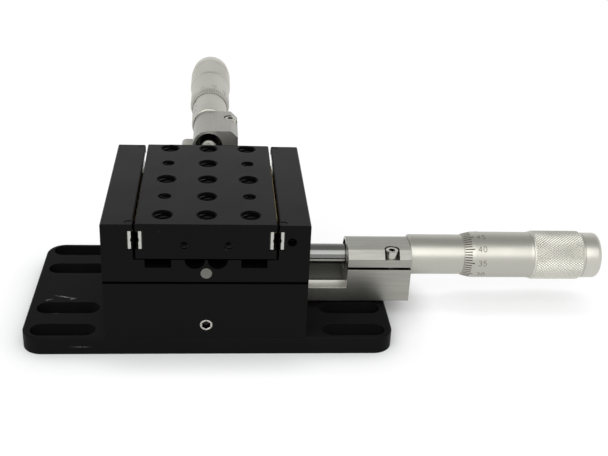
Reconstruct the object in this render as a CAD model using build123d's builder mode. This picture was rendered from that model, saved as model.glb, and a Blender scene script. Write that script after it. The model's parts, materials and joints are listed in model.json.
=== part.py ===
"""Two-axis translation stage: two identical micrometer stages, crossed on a slotted base plate.

Each stage is a U-shaped body in which a carriage runs along X on two rows of balls. A micrometer
in a clamp bracket pushes the carriage, and two springs pull the carriage against its spindle.
The pieces of one stage are drawn once, with the underside of its body at Z = 0 and the
micrometer towards +X. The lower stage stands so on the base plate. The upper stage is turned a
quarter turn about Z and bolted to the lower carriage. Millimetres, +Z up, and the origin is under
the middle of the bodies, at the bottom of the base plate.
"""
import os

from build123d import *

os.makedirs("parts", exist_ok=True)

# Hole grid of the carriage's top, which sets the size of the body
grid_pitch = 12.7
grid_rows = 5
grid_margin = 4.6  # from the outer rows to the ends of a body, on average
grid_offset = 1.6  # the grid's middle lies this much nearer to the micrometer
large_tap_radius = 2.6
large_tap_depth = 6.3
small_tap_radius = 1.75
small_tap_depth = 8.0
tap_chamfer = 0.3

# Base plate, as wide as the body on it
plate_reach = 26.2  # beyond each end of the body, on average
plate_thickness = 5.8
plate_corner_radius = 6.0
plate_offset = 1.1  # the plate reaches this much further out on the lower micrometer's side
plate_edge_chamfer = 0.4
slot_length = 19.4
slot_width = 6.6
slot_reach = 14.1  # from the ends of the body to the middles of the slots, on average

# Body of one stage, which is square
wall_height = 18.8
floor_height = 7.5
opening_width = 42.0
edge_chamfer = 0.3

# Carriage of one stage
side_gap = 0.8  # between a wall of the body and the carriage
floor_gap = 0.4  # between the floor of the body and the carriage
carriage_rise = 0.2  # from the walls' tops to the top of the carriage
travel = 25.0
end_tap_radius = 1.2
end_tap_depth = 6.0
end_tap_spacing = 12.7
end_tap_height = 4.3  # above the carriage's underside

# Ball bearing
rail_inset = 0.3  # from the end faces of the body to the rails' ends
rail_height = 5.7
rail_drop = 5.1  # from the walls' tops to the middle of the rails
rail_thickness = 0.9
shim_thickness = 0.4
rail_gap = 2.1
rail_slack = 0.1  # between a rail's edge and its pocket, above and below
wall_rail_depth = 0.4  # from the inner face of the wall to the rail
ball_radius = 1.19
ball_clearance = 0.05
balls_in_row = 7
ball_pitch = 5.5
cage_margin = 4.0  # from the outer balls to the cage's ends
cage_height = 4.4
cage_thickness = 0.8

# Small steel pieces in the body
rail_pin_radius = 1.2
rail_pin_inset = 1.5  # from the end face of the body
rail_pin_sink = 0.15
preload_screw_radius = 1.35
preload_screw_length = 5.0
preload_screw_sink = 2.6
preload_screw_spacing = 2.0  # from the back of the rails' pocket
preload_screw_drop = 0.3  # below the middle of the rails
preload_hole_depth = 8.0
side_screw_radius = 2.0
side_screw_length = 6.0
side_screw_sink = 0.3
side_screw_height = 4.2
side_hole_depth = 8.0
dowel_radius = 1.75
dowel_length = 10.0
dowel_height = 3.0

# Relief channels in the floor, and the springs in the round ones
relief_inner = 10.1
relief_outer = 17.7
relief_depth = 2.6
spring_channel_radius = 2.95
spring_offset = 3.3
spring_radius = 1.5
spring_bore_radius = 1.1
spring_wire_radius = 0.3
spring_clearance = 0.1
spring_pin_radius = 0.8
spring_pin_slack = 0.15
spring_pin_reach = 14.0
spring_pin_grip = 3.0
spring_pin_end_gap = 0.3

# Screws that hold a body down, through the floor of its relief channels
body_screw_radius = 1.75
body_screw_clearance = 0.2
body_screw_head_radius = 3.3
body_screw_head_height = 4.0
body_screw_seat = 1.5
body_screw_grip = 4.5
body_screw_key = 3.2
counterbore_clearance = 0.3

# Micrometer bracket
axis_drop = 5.9  # from the walls' tops to the micrometer's axis
bracket_width = 20.4
bracket_floor_gap = 1.2
foot_thickness = 4.7
back_foot_thickness = 6.3
back_foot_rounding = 1.8
trough_radius = 8.7
tongue_length = 12.0
tongue_thickness = 2.5
tongue_clearance = 0.1
clamp_reach = 14.4  # from the body to the clamp
clamp_length = 20.4
clamp_radius = 5.7
clamp_chamfer = 2.4
clamp_slit = 0.7
stem_radius = 4.75
bracket_screw_radius = 1.4
bracket_screw_margin = 2.3  # from the bracket's sides
bracket_screw_inset = 6.0
bracket_screw_cover = 0.5  # left between the screws' ends and the body's floor
bracket_screw_clearance = 0.15
bracket_screw_head_radius = 2.3
bracket_screw_head_height = 1.2
bracket_screw_key = 1.6
clamp_screw_inset = 6.3  # from the clamp's end
clamp_screw_margin = 2.6  # from the clamp's front
clamp_screw_radius = 1.4
clamp_screw_clearance = 0.1
clamp_screw_head_radius = 2.0
clamp_screw_head_height = 2.5
clamp_screw_pocket_radius = 2.35
clamp_screw_pocket_depth = 2.7
clamp_screw_length = 11.0
clamp_screw_key = 1.9

# Micrometer head, measured along X from the middle of the body, at mid travel
stem_recess = 7.0
barrel_radius = 6.5
thimble_gap = 5.5  # between the clamp and the thimble, with the carriage run right in
bevel_length = 3.3
thimble_radius = 7.5
skirt_length = 23.4  # from the thimble's front edge to its knurl
knurl_radius = 8.0
knurl_chamfer = 0.6
knurl_length = 16.8
thimble_wall = 4.7
thimble_clearance = 0.08
thimble_stop_gap = 1.0
cap_length = 5.5
cap_radius = 7.45
cap_rounding = 1.6
spindle_radius = 3.25
spindle_clearance = 0.05
spindle_nose = 0.8
stud_radius = 2.0
stud_length = 8.0
nut_length = 8.0
nut_radius = 4.5
pad_radius = 3.0
pad_thickness = 0.8
pad_gap = 0.03

# Worked out from the sizes above
half_travel = travel / 2
body_length = (grid_rows - 1) * grid_pitch + 2 * grid_margin
body_width = body_length
body_end = body_length / 2
plate_length = body_length + 2 * plate_reach
plate_width = body_width
slot_column_spacing = body_length + 2 * slot_reach
slot_row_spacings = (2 * grid_pitch, 4 * grid_pitch)
wall_face = opening_width / 2
carriage_width = opening_width - 2 * side_gap
carriage_underside = floor_height + floor_gap
stage_pitch = wall_height + carriage_rise
carriage_height = stage_pitch - carriage_underside
rail_length = body_length - 2 * rail_inset
rail_level = wall_height - rail_drop
wall_rail_face = wall_face + wall_rail_depth
wall_rail_back = wall_rail_face + rail_thickness
wall_pocket_back = wall_rail_back + shim_thickness
carriage_rail_face = wall_rail_face - rail_gap
carriage_rail_back = carriage_rail_face - rail_thickness
carriage_pocket_back = carriage_rail_back - shim_thickness
ball_line = (wall_rail_face + carriage_rail_face) / 2
cage_length = (balls_in_row - 1) * ball_pitch + 2 * cage_margin
pocket_height = rail_height + 2 * rail_slack
pocket_top = rail_level + pocket_height / 2
preload_screw_offset = wall_pocket_back + preload_screw_spacing
preload_screw_height = rail_level - preload_screw_drop
spring_level = floor_height - spring_channel_radius + spring_clearance + spring_radius
pad_face = body_end + pad_thickness
axis_height = wall_height - axis_drop
clamp_start = body_end + clamp_reach
clamp_end = clamp_start + clamp_length
clamp_top = axis_height + clamp_radius
clamp_screw_position = clamp_end - clamp_screw_inset
clamp_screw_offset = bracket_width / 2 - clamp_screw_margin
tongue_top = bracket_floor_gap + tongue_thickness
bracket_screw_offset = bracket_width / 2 - bracket_screw_margin
bracket_screw_grip = floor_height - tongue_top - bracket_screw_cover
thimble_start = clamp_end + half_travel + thimble_gap
knurl_start = thimble_start + skirt_length
thimble_end = knurl_start + knurl_length
cap_end = thimble_end + cap_length
barrel_end = thimble_end - thimble_wall - half_travel - thimble_stop_gap
stud_start = thimble_end - thimble_wall / 2
grid_points = [
    (grid_offset + (row - (grid_rows - 1) / 2) * grid_pitch, column * grid_pitch, row, column)
    for row in range(grid_rows)
    for column in (-1, 0, 1)
]
large_points = [(x, y) for x, y, row, column in grid_points if column == 0 or row % 2 == 0]
small_points = [(x, y) for x, y, row, column in grid_points if column != 0 and row % 2 == 1]
# The small holes of the lower carriage, seen from the stage that stands on it a quarter turn round
body_screw_points = [(y, -x) for x, y in small_points]
stage_axis = Axis((0, 0, axis_height), (1, 0, 0))
end_plane = Plane((-body_end, 0, 0), x_dir=(0, -1, 0), z_dir=(-1, 0, 0))
side_plane = Plane((0, -body_width / 2, 0), x_dir=(1, 0, 0), z_dir=(0, -1, 0))

# Base plate: rounded bar with two columns of slots, and the tapped holes for the lower body
with BuildPart() as base_plate:
    with BuildSketch():
        with Locations((plate_offset, 0)):
            RectangleRounded(plate_length, plate_width, plate_corner_radius)
            for slot_row_spacing in slot_row_spacings:
                with GridLocations(slot_column_spacing, slot_row_spacing, 2, 2):
                    SlotOverall(slot_length, slot_width, mode=Mode.SUBTRACT)
        with Locations(*body_screw_points):
            Circle(body_screw_radius, mode=Mode.SUBTRACT)
    extrude(amount=plate_thickness)
    rim = base_plate.faces().sort_by(Axis.Z)[-1].outer_wire().edges()
    chamfer(rim, plate_edge_chamfer)

# Body: a U section with rail pockets in its walls and relief channels in its floor
with BuildPart() as body:
    with BuildSketch(Plane.YZ.offset(-body_end)):
        Rectangle(body_width, wall_height, align=(Align.CENTER, Align.MIN))
        with Locations((0, floor_height)):
            Rectangle(opening_width, wall_height, align=(Align.CENTER, Align.MIN), mode=Mode.SUBTRACT)
        with Locations((0, rail_level)):
            Rectangle(2 * wall_pocket_back, pocket_height, mode=Mode.SUBTRACT)
        for side in (-1, 1):
            with Locations((side * (relief_inner + relief_outer) / 2, floor_height)):
                Rectangle(relief_outer - relief_inner, 2 * relief_depth, mode=Mode.SUBTRACT)
            with Locations((side * spring_offset, floor_height)):
                Circle(spring_channel_radius, mode=Mode.SUBTRACT)
    extrude(amount=body_length)
    top_rims = body.edges().filter_by(Axis.X).group_by(Axis.Z)[-1]
    chamfer(top_rims, edge_chamfer)
    # holes for the screws that hold the body down
    with Locations(*[(x, y, floor_height) for x, y in body_screw_points]):
        CounterBoreHole(
            radius=body_screw_radius + body_screw_clearance,
            counter_bore_radius=body_screw_head_radius + counterbore_clearance,
            counter_bore_depth=floor_height - body_screw_seat,
        )
    # pocket in the underside for the bracket's tongue, with the bracket's tapped holes above it
    with Locations((body_end, 0, 0)):
        Box(
            2 * (tongue_length + tongue_clearance),
            bracket_width + 2 * tongue_clearance,
            2 * tongue_top,
            mode=Mode.SUBTRACT,
        )
    with BuildSketch(Plane.XY.offset(tongue_top)):
        with Locations((body_end - bracket_screw_inset, 0)):
            with GridLocations(1, 2 * bracket_screw_offset, 1, 2):
                Circle(bracket_screw_radius)
    extrude(amount=bracket_screw_grip, mode=Mode.SUBTRACT)
    # anchor holes for the springs
    with BuildSketch(Plane.XY.offset(floor_height - spring_channel_radius - spring_pin_grip)):
        with Locations((spring_pin_reach, 0)):
            with GridLocations(1, 2 * spring_offset, 1, 2):
                Circle(spring_pin_radius)
    extrude(amount=spring_pin_grip + spring_channel_radius, mode=Mode.SUBTRACT)
    # holes for the pins that stand on the ends of the wall rails
    with BuildSketch(Plane.XY.offset(pocket_top)):
        with GridLocations(
            body_length - 2 * rail_pin_inset, wall_rail_face + wall_pocket_back, 2, 2
        ):
            Circle(rail_pin_radius)
    extrude(amount=wall_height, mode=Mode.SUBTRACT)
    # preload screw and dowel in the end face, and set screw in the long side
    with BuildSketch(end_plane):
        with Locations((preload_screw_offset, preload_screw_height)):
            Circle(preload_screw_radius)
    extrude(amount=-preload_hole_depth, mode=Mode.SUBTRACT)
    with BuildSketch(end_plane):
        with Locations((0, dowel_height)):
            Circle(dowel_radius)
    extrude(amount=-dowel_length, mode=Mode.SUBTRACT)
    with BuildSketch(side_plane):
        with Locations((0, side_screw_height)):
            Circle(side_screw_radius)
    extrude(amount=-side_hole_depth, mode=Mode.SUBTRACT)

# Carriage: a block with a rail pocket in each side and the hole grid in its top
with BuildPart() as carriage:
    with BuildSketch(Plane.YZ.offset(-body_end)):
        with Locations((0, carriage_underside)):
            Rectangle(carriage_width, carriage_height, align=(Align.CENTER, Align.MIN))
        for side in (-1, 1):
            with Locations((side * (carriage_pocket_back + carriage_width) / 2, rail_level)):
                Rectangle(carriage_width - carriage_pocket_back, pocket_height, mode=Mode.SUBTRACT)
    extrude(amount=body_length)
    long_rims = carriage.edges().filter_by(Axis.X).group_by(Axis.Z)[-1]
    chamfer(long_rims, edge_chamfer)
    with Locations(*[(x, y, stage_pitch) for x, y in large_points]):
        CounterSinkHole(large_tap_radius, large_tap_radius + tap_chamfer, depth=large_tap_depth)
    with Locations(*[(x, y, stage_pitch) for x, y in small_points]):
        CounterSinkHole(small_tap_radius, small_tap_radius + tap_chamfer, depth=small_tap_depth)
    with BuildSketch(end_plane):
        with Locations((0, carriage_underside + end_tap_height)):
            with GridLocations(end_tap_spacing, 1, 2, 1):
                Circle(end_tap_radius)
    extrude(amount=-end_tap_depth, mode=Mode.SUBTRACT)
    # anchor holes for the springs
    with BuildSketch(Plane.XY.offset(carriage_underside)):
        with Locations((-spring_pin_reach, 0)):
            with GridLocations(1, 2 * spring_offset, 1, 2):
                Circle(spring_pin_radius)
    extrude(amount=spring_pin_grip, mode=Mode.SUBTRACT)


def side_strips(inner, outer):
    """Two strips as long as the rails, between two distances from the middle of the stage."""
    with BuildPart() as strips:
        with BuildSketch(Plane.YZ.offset(-rail_length / 2)):
            for side in (-1, 1):
                with Locations((side * (inner + outer) / 2, rail_level)):
                    Rectangle(outer - inner, rail_height)
            # the balls' groove, which only the rails reach
            with Locations((-ball_line, rail_level), (ball_line, rail_level)):
                Circle(ball_radius + ball_clearance, mode=Mode.SUBTRACT)
        extrude(amount=rail_length)
    return strips.part


# Rails: ground strips with an arc groove for the balls, each backed by a shim strip
wall_rails = side_strips(wall_rail_face, wall_rail_back)
wall_shims = side_strips(wall_rail_back, wall_pocket_back)
carriage_rails = side_strips(carriage_rail_back, carriage_rail_face)
carriage_shims = side_strips(carriage_pocket_back, carriage_rail_back)

# Balls, and the two cages that keep them apart
with BuildPart() as balls:
    with Locations((0, 0, rail_level)):
        with GridLocations(ball_pitch, 2 * ball_line, balls_in_row, 2):
            Sphere(ball_radius)

with BuildPart() as ball_cages:
    with BuildSketch(Plane.XZ.offset(-ball_line - cage_thickness / 2)):
        with Locations((0, rail_level)):
            Rectangle(cage_length, cage_height)
            with GridLocations(ball_pitch, 1, balls_in_row, 1):
                Circle(ball_radius + ball_clearance, mode=Mode.SUBTRACT)
    extrude(amount=cage_thickness)
    mirror(about=Plane.XZ)

# Pins that stand on the ends of the wall rails
with BuildPart() as rail_pins:
    with BuildSketch(Plane.XY.offset(pocket_top)):
        with GridLocations(
            body_length - 2 * rail_pin_inset, wall_rail_face + wall_pocket_back, 2, 2
        ):
            Circle(rail_pin_radius)
    extrude(amount=wall_height - rail_pin_sink - pocket_top)


def socket_set_screw(plane, x, y, radius, length):
    """A headless screw with a hexagon socket in the end that faces out of the plane."""
    with BuildPart() as screw:
        with BuildSketch(plane):
            with Locations((x, y)):
                Circle(radius)
        extrude(amount=-length)
        with BuildSketch(plane):
            with Locations((x, y)):
                RegularPolygon(radius / 2, 6)
        extrude(amount=-length / 2, mode=Mode.SUBTRACT)
    return screw.part


preload_screw = socket_set_screw(
    end_plane.offset(-preload_screw_sink),
    preload_screw_offset,
    preload_screw_height,
    preload_screw_radius,
    preload_screw_length,
)
side_set_screw = socket_set_screw(
    side_plane.offset(-side_screw_sink), 0, side_screw_height, side_screw_radius, side_screw_length
)

with BuildPart() as dowel_pin:
    with BuildSketch(end_plane):
        with Locations((0, dowel_height)):
            Circle(dowel_radius)
    extrude(amount=-dowel_length)

# Springs, drawn as closed coils with an eye at each end, and the pins that they hang on
with BuildPart() as springs:
    for side in (-1, 1):
        with BuildSketch(Plane.YZ.offset(-spring_pin_reach + spring_pin_radius + spring_pin_slack)):
            with Locations((side * spring_offset, spring_level)):
                Circle(spring_radius)
                Circle(spring_bore_radius, mode=Mode.SUBTRACT)
        extrude(amount=2 * (spring_pin_reach - spring_pin_radius - spring_pin_slack))
        # the eyes
        with BuildSketch(Plane.XY.offset(spring_level - spring_wire_radius)):
            with Locations(
                (-spring_pin_reach, side * spring_offset), (spring_pin_reach, side * spring_offset)
            ):
                Circle(spring_pin_radius + spring_pin_slack + 2 * spring_wire_radius)
                Circle(spring_pin_radius + spring_pin_slack, mode=Mode.SUBTRACT)
        extrude(amount=2 * spring_wire_radius)

with BuildPart() as body_spring_pins:
    with BuildSketch(Plane.XY.offset(floor_height - spring_channel_radius - spring_pin_grip)):
        with Locations((spring_pin_reach, 0)):
            with GridLocations(1, 2 * spring_offset, 1, 2):
                Circle(spring_pin_radius)
    extrude(amount=spring_pin_grip + spring_channel_radius)

with BuildPart() as carriage_spring_pins:
    with BuildSketch(Plane.XY.offset(floor_height - spring_channel_radius + spring_pin_end_gap)):
        with Locations((-spring_pin_reach, 0)):
            with GridLocations(1, 2 * spring_offset, 1, 2):
                Circle(spring_pin_radius)
    extrude(
        amount=floor_gap + spring_channel_radius - spring_pin_end_gap + spring_pin_grip,
    )


def cap_screws(points, seat, head_radius, head_height, radius, length, key):
    """Socket head cap screws that stand on the height seat, with their heads up."""
    with BuildPart() as screws:
        with BuildSketch(Plane.XY.offset(seat)):
            with Locations(*points):
                Circle(head_radius)
        extrude(amount=head_height)
        with BuildSketch(Plane.XY.offset(seat)):
            with Locations(*points):
                Circle(radius)
        extrude(amount=-length)
        with BuildSketch(Plane.XY.offset(seat + head_height)):
            with Locations(*points):
                RegularPolygon(key / 2, 6, major_radius=False)
        extrude(amount=-head_height / 2, mode=Mode.SUBTRACT)
    return screws.part


body_screws = cap_screws(
    body_screw_points,
    body_screw_seat,
    body_screw_head_radius,
    body_screw_head_height,
    body_screw_radius,
    body_screw_seat + body_screw_grip,
    body_screw_key,
)

# Bracket: a foot with a trough under the spindle, a tongue under the body, and a split clamp
with BuildSketch() as foot_profile:
    with Locations((0, bracket_floor_gap)):
        Rectangle(bracket_width, foot_thickness, align=(Align.CENTER, Align.MIN))
        # the foot is higher behind, where its outer edge is rounded
        Rectangle(bracket_width / 2, back_foot_thickness, align=(Align.MIN, Align.MIN))
    fillet(foot_profile.vertices().group_by(Axis.Y)[-1].sort_by(Axis.X)[-1], back_foot_rounding)

with BuildPart() as bracket:
    with BuildSketch(Plane.YZ.offset(body_end)):
        add(foot_profile.sketch)
        with Locations((0, axis_height)):
            Circle(trough_radius, mode=Mode.SUBTRACT)
    extrude(amount=clamp_start - body_end)
    with BuildSketch(Plane.YZ.offset(clamp_start)):
        add(foot_profile.sketch)
    extrude(amount=clamp_length)
    with BuildSketch(Plane.YZ.offset(body_end - tongue_length)):
        with Locations((0, bracket_floor_gap)):
            Rectangle(bracket_width, tongue_thickness, align=(Align.CENTER, Align.MIN))
    extrude(amount=tongue_length)
    # the clamp block, rounded about the axis behind and chamfered in front
    with BuildSketch(Plane.YZ.offset(clamp_start)):
        with BuildLine():
            Polyline(
                (0, clamp_top),
                (clamp_chamfer - bracket_width / 2, clamp_top),
                (-bracket_width / 2, clamp_top - clamp_chamfer),
                (-bracket_width / 2, bracket_floor_gap),
                (clamp_radius, bracket_floor_gap),
                (clamp_radius, axis_height),
            )
            TangentArc((clamp_radius, axis_height), (0, clamp_top), tangent=(0, 1))
        make_face()
        with Locations((0, axis_height)):
            Circle(stem_radius, mode=Mode.SUBTRACT)
        with Locations((-bracket_width / 2, axis_height)):
            Rectangle(bracket_width, clamp_slit, mode=Mode.SUBTRACT)
    extrude(amount=clamp_end - clamp_start)
    # pocket for the clamp screw's head, open to the front, and the screw's own hole
    with BuildSketch(Plane.XY.offset(clamp_top)):
        with Locations((clamp_screw_position, -clamp_screw_offset)):
            Circle(clamp_screw_pocket_radius)
            Rectangle(2 * clamp_screw_pocket_radius, bracket_width, align=(Align.CENTER, Align.MAX))
    extrude(amount=-clamp_screw_pocket_depth, mode=Mode.SUBTRACT)
    with BuildSketch(Plane.XY.offset(clamp_top)):
        with Locations((clamp_screw_position, -clamp_screw_offset)):
            Circle(clamp_screw_radius + clamp_screw_clearance)
    extrude(amount=axis_height - clamp_top, mode=Mode.SUBTRACT)
    with BuildSketch(Plane.XY.offset(clamp_top - clamp_screw_pocket_depth - clamp_screw_length)):
        with Locations((clamp_screw_position, -clamp_screw_offset)):
            Circle(clamp_screw_radius)
    extrude(amount=clamp_screw_length, mode=Mode.SUBTRACT)
    # clearance holes for the screws that hold the tongue up against the body
    with BuildSketch(Plane.XY.offset(bracket_floor_gap)):
        with Locations((body_end - bracket_screw_inset, 0)):
            with GridLocations(1, 2 * bracket_screw_offset, 1, 2):
                Circle(bracket_screw_radius + bracket_screw_clearance)
    extrude(amount=tongue_thickness, mode=Mode.SUBTRACT)

with BuildPart() as bracket_screws:
    with BuildSketch(Plane.XY.offset(bracket_floor_gap)):
        with Locations((body_end - bracket_screw_inset, 0)):
            with GridLocations(1, 2 * bracket_screw_offset, 1, 2):
                Circle(bracket_screw_head_radius)
                RegularPolygon(bracket_screw_key / 2, 6, major_radius=False, mode=Mode.SUBTRACT)
    extrude(amount=-bracket_screw_head_height)
    with BuildSketch(Plane.XY.offset(bracket_floor_gap)):
        with Locations((body_end - bracket_screw_inset, 0)):
            with GridLocations(1, 2 * bracket_screw_offset, 1, 2):
                Circle(bracket_screw_radius)
    extrude(amount=tongue_thickness + bracket_screw_grip)

clamp_screw = cap_screws(
    [(clamp_screw_position, -clamp_screw_offset)],
    clamp_top - clamp_screw_pocket_depth,
    clamp_screw_head_radius,
    clamp_screw_head_height,
    clamp_screw_radius,
    clamp_screw_length,
    clamp_screw_key,
)

# Micrometer sleeve: the stem in the clamp, the barrel, and the seat of the thread nut
with BuildPart() as micrometer_sleeve:
    with BuildSketch(Plane.XZ):
        with BuildLine():
            Polyline(
                (clamp_start + stem_recess, axis_height + spindle_radius + spindle_clearance),
                (clamp_start + stem_recess, axis_height + stem_radius),
                (clamp_end, axis_height + stem_radius),
                (clamp_end, axis_height + barrel_radius),
                (barrel_end, axis_height + barrel_radius),
                (barrel_end, axis_height + nut_radius),
                (barrel_end - nut_length, axis_height + nut_radius),
                (barrel_end - nut_length, axis_height + spindle_radius + spindle_clearance),
                close=True,
            )
        make_face()
    revolve(axis=stage_axis)

with BuildPart() as thread_nut:
    with BuildSketch(Plane.YZ.offset(barrel_end - nut_length)):
        with Locations((0, axis_height)):
            Circle(nut_radius)
            Circle(spindle_radius + spindle_clearance, mode=Mode.SUBTRACT)
    extrude(amount=nut_length)

# Spindle: rounded nose towards the carriage, and a stud for the cap behind the thimble's wall
with BuildPart() as spindle:
    with BuildSketch(Plane.XZ):
        with BuildLine():
            Polyline(
                (pad_face + pad_gap, axis_height),
                (pad_face + pad_gap, axis_height + spindle_radius - spindle_nose),
                (pad_face + pad_gap + spindle_nose, axis_height + spindle_radius),
                (stud_start, axis_height + spindle_radius),
                (stud_start, axis_height + stud_radius),
                (stud_start + stud_length - thimble_wall / 2, axis_height + stud_radius),
                (stud_start + stud_length - thimble_wall / 2, axis_height),
                close=True,
            )
        make_face()
    revolve(axis=stage_axis)

# Thimble: bevelled edge over the barrel, plain skirt and knurled grip
with BuildPart() as thimble:
    with BuildSketch(Plane.XZ):
        with BuildLine():
            Polyline(
                (thimble_start, axis_height + barrel_radius + thimble_clearance),
                (thimble_start + bevel_length, axis_height + thimble_radius),
                (knurl_start, axis_height + thimble_radius),
                (knurl_start + knurl_chamfer, axis_height + knurl_radius),
                (thimble_end - knurl_chamfer, axis_height + knurl_radius),
                (thimble_end, axis_height + knurl_radius - knurl_chamfer),
                (thimble_end, axis_height + stud_radius),
                (stud_start, axis_height + stud_radius),
                (stud_start, axis_height + spindle_radius),
                (thimble_end - thimble_wall, axis_height + spindle_radius),
                (thimble_end - thimble_wall, axis_height + barrel_radius + thimble_clearance),
                close=True,
            )
        make_face()
    revolve(axis=stage_axis)

# Cap that screws onto the spindle's stud and holds the thimble
with BuildPart() as thimble_cap:
    with BuildSketch(Plane.YZ.offset(thimble_end)):
        with Locations((0, axis_height)):
            Circle(cap_radius)
    extrude(amount=cap_end - thimble_end)
    outer_rim = thimble_cap.edges().filter_by(GeomType.CIRCLE).sort_by(Axis.X)[-1]
    fillet(outer_rim, cap_rounding)
    with BuildSketch(Plane.YZ.offset(thimble_end)):
        with Locations((0, axis_height)):
            Circle(stud_radius)
    extrude(amount=stud_length - thimble_wall, mode=Mode.SUBTRACT)

# Hardened pad on the carriage's end, where the spindle pushes
with BuildPart() as contact_pad:
    with BuildSketch(Plane.YZ.offset(body_end)):
        with Locations((0, axis_height)):
            Circle(pad_radius)
    extrude(amount=pad_thickness)

stage_pieces = {
    "body": body.part,
    "wall_rails": wall_rails,
    "wall_shims": wall_shims,
    "rail_pins": rail_pins.part,
    "preload_screw": preload_screw,
    "side_set_screw": side_set_screw,
    "dowel_pin": dowel_pin.part,
    "body_screws": body_screws,
    "body_spring_pins": body_spring_pins.part,
    "springs": springs.part,
    "bracket": bracket.part,
    "bracket_screws": bracket_screws.part,
    "clamp_screw": clamp_screw,
    "micrometer_sleeve": micrometer_sleeve.part,
    "thread_nut": thread_nut.part,
    "balls": balls.part,
    "ball_cages": ball_cages.part,
    "carriage": carriage.part,
    "carriage_rails": carriage_rails,
    "carriage_shims": carriage_shims,
    "carriage_spring_pins": carriage_spring_pins.part,
    "contact_pad": contact_pad.part,
    "spindle": spindle.part,
    "thimble": thimble.part,
    "thimble_cap": thimble_cap.part,
}
stage_places = {
    "lower": Location((0, 0, plate_thickness)),
    "upper": Location((0, 0, plate_thickness + stage_pitch), (0, 0, 90)),
}

base_plate.part.label = "base_plate"
export_step(base_plate.part, "parts/base_plate.step")
for stage, place in stage_places.items():
    for name, piece in stage_pieces.items():
        with BuildPart() as placed:
            with Locations(place):
                add(piece)
        placed.part.label = f"{stage}_{name}"
        export_step(placed.part, f"parts/{stage}_{name}.step")
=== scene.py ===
import json
import math
import bmesh
import bpy
import numpy as np
from mathutils import Matrix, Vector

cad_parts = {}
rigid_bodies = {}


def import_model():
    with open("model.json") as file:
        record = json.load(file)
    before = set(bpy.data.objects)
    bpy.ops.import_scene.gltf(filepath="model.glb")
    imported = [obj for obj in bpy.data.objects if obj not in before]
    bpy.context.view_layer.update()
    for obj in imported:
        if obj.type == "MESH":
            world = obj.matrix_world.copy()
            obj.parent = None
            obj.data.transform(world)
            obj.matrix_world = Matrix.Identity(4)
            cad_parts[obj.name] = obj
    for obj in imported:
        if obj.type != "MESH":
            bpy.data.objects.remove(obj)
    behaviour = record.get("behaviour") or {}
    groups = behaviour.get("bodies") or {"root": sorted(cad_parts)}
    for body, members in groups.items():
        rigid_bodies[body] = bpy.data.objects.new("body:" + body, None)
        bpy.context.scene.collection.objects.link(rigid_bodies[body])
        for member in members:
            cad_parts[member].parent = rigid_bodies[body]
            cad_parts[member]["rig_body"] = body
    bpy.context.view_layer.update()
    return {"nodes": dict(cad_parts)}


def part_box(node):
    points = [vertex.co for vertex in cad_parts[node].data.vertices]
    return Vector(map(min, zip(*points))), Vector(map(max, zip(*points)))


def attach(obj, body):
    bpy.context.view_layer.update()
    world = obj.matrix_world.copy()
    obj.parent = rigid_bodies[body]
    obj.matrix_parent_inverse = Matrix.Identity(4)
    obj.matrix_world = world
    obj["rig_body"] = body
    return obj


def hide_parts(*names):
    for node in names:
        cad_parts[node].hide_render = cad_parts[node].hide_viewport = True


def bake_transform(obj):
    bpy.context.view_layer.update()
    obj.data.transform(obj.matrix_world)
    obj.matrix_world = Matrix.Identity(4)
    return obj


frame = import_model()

mm = 0.001
scene = bpy.context.scene
print("frame loaded,", len(frame["nodes"]), "nodes")

# The two stages are the same in size. The upper one is turned a quarter turn about Z.
stages = {
    "lower": {"quarterTurn": False, "fixed": "base", "carriage": "lower_stage", "screw": "lower_thimble"},
    "upper": {"quarterTurn": True, "fixed": "lower_stage", "carriage": "upper_stage",
              "screw": "upper_thimble"},
}
for stageName, stage in stages.items():
    stage["lift"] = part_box(stageName + "_body")[0].z


def stageBox(part):
    # the low and the high corner of one of the lower stage's nodes, in millimetres in the stage's own frame
    lift = np.array([0, 0, stages["lower"]["lift"]])
    return [(np.array(corner) - lift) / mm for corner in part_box("lower_" + part)]


spindleBox, sleeveBox, bodyBox = stageBox("spindle"), stageBox("micrometer_sleeve"), stageBox("body")
axisHeight = (spindleBox[0][2] + spindleBox[1][2]) / 2


def toWorld(points, stageName):
    # millimetres in a stage's own frame become metres in the shared one: x and y swap with a sign for
    # the quarter turn, and z rises by the height that the stage stands on
    x, y, z = points[..., 0], points[..., 1], points[..., 2]
    if stages[stageName]["quarterTurn"]:
        x, y = -y, x
    return np.stack([x * mm, y * mm, z * mm + stages[stageName]["lift"]], -1)


def toStage(points, stageName):
    # the same the other way round, for rows of points
    x, y, z = points.T / mm
    if stages[stageName]["quarterTurn"]:
        x, y = y, -x
    return np.stack([x, y, z - stages[stageName]["lift"] / mm], -1)


def meshValues(items, field):
    # a field of three numbers of each vertex or face, as rows
    values = np.empty(len(items) * 3)
    items.foreach_get(field, values)
    return values.reshape(-1, 3)


def gridFaces(rows, columns, wrapRows, wrapColumns):
    # each face joins four neighbours of the grid, and a wrapped side joins its last line to its first
    r = np.arange(rows if wrapRows else rows - 1)
    c = np.arange(columns if wrapColumns else columns - 1)
    r, c = np.meshgrid(r, c, indexing="ij")
    rowNext, columnNext = (r + 1) % rows, (c + 1) % columns
    corners = [(r, c), (r, columnNext), (rowNext, columnNext), (rowNext, c)]
    faces = np.stack([row * columns + column for row, column in corners], -1)
    places = [(c, r), (c + 1, r), (c + 1, r + 1), (c, r + 1)]
    uvs = np.stack([np.stack([column / columns, row], -1) for column, row in places], -2)
    return faces.reshape(-1, 4), uvs.reshape(-1, 2)


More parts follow.
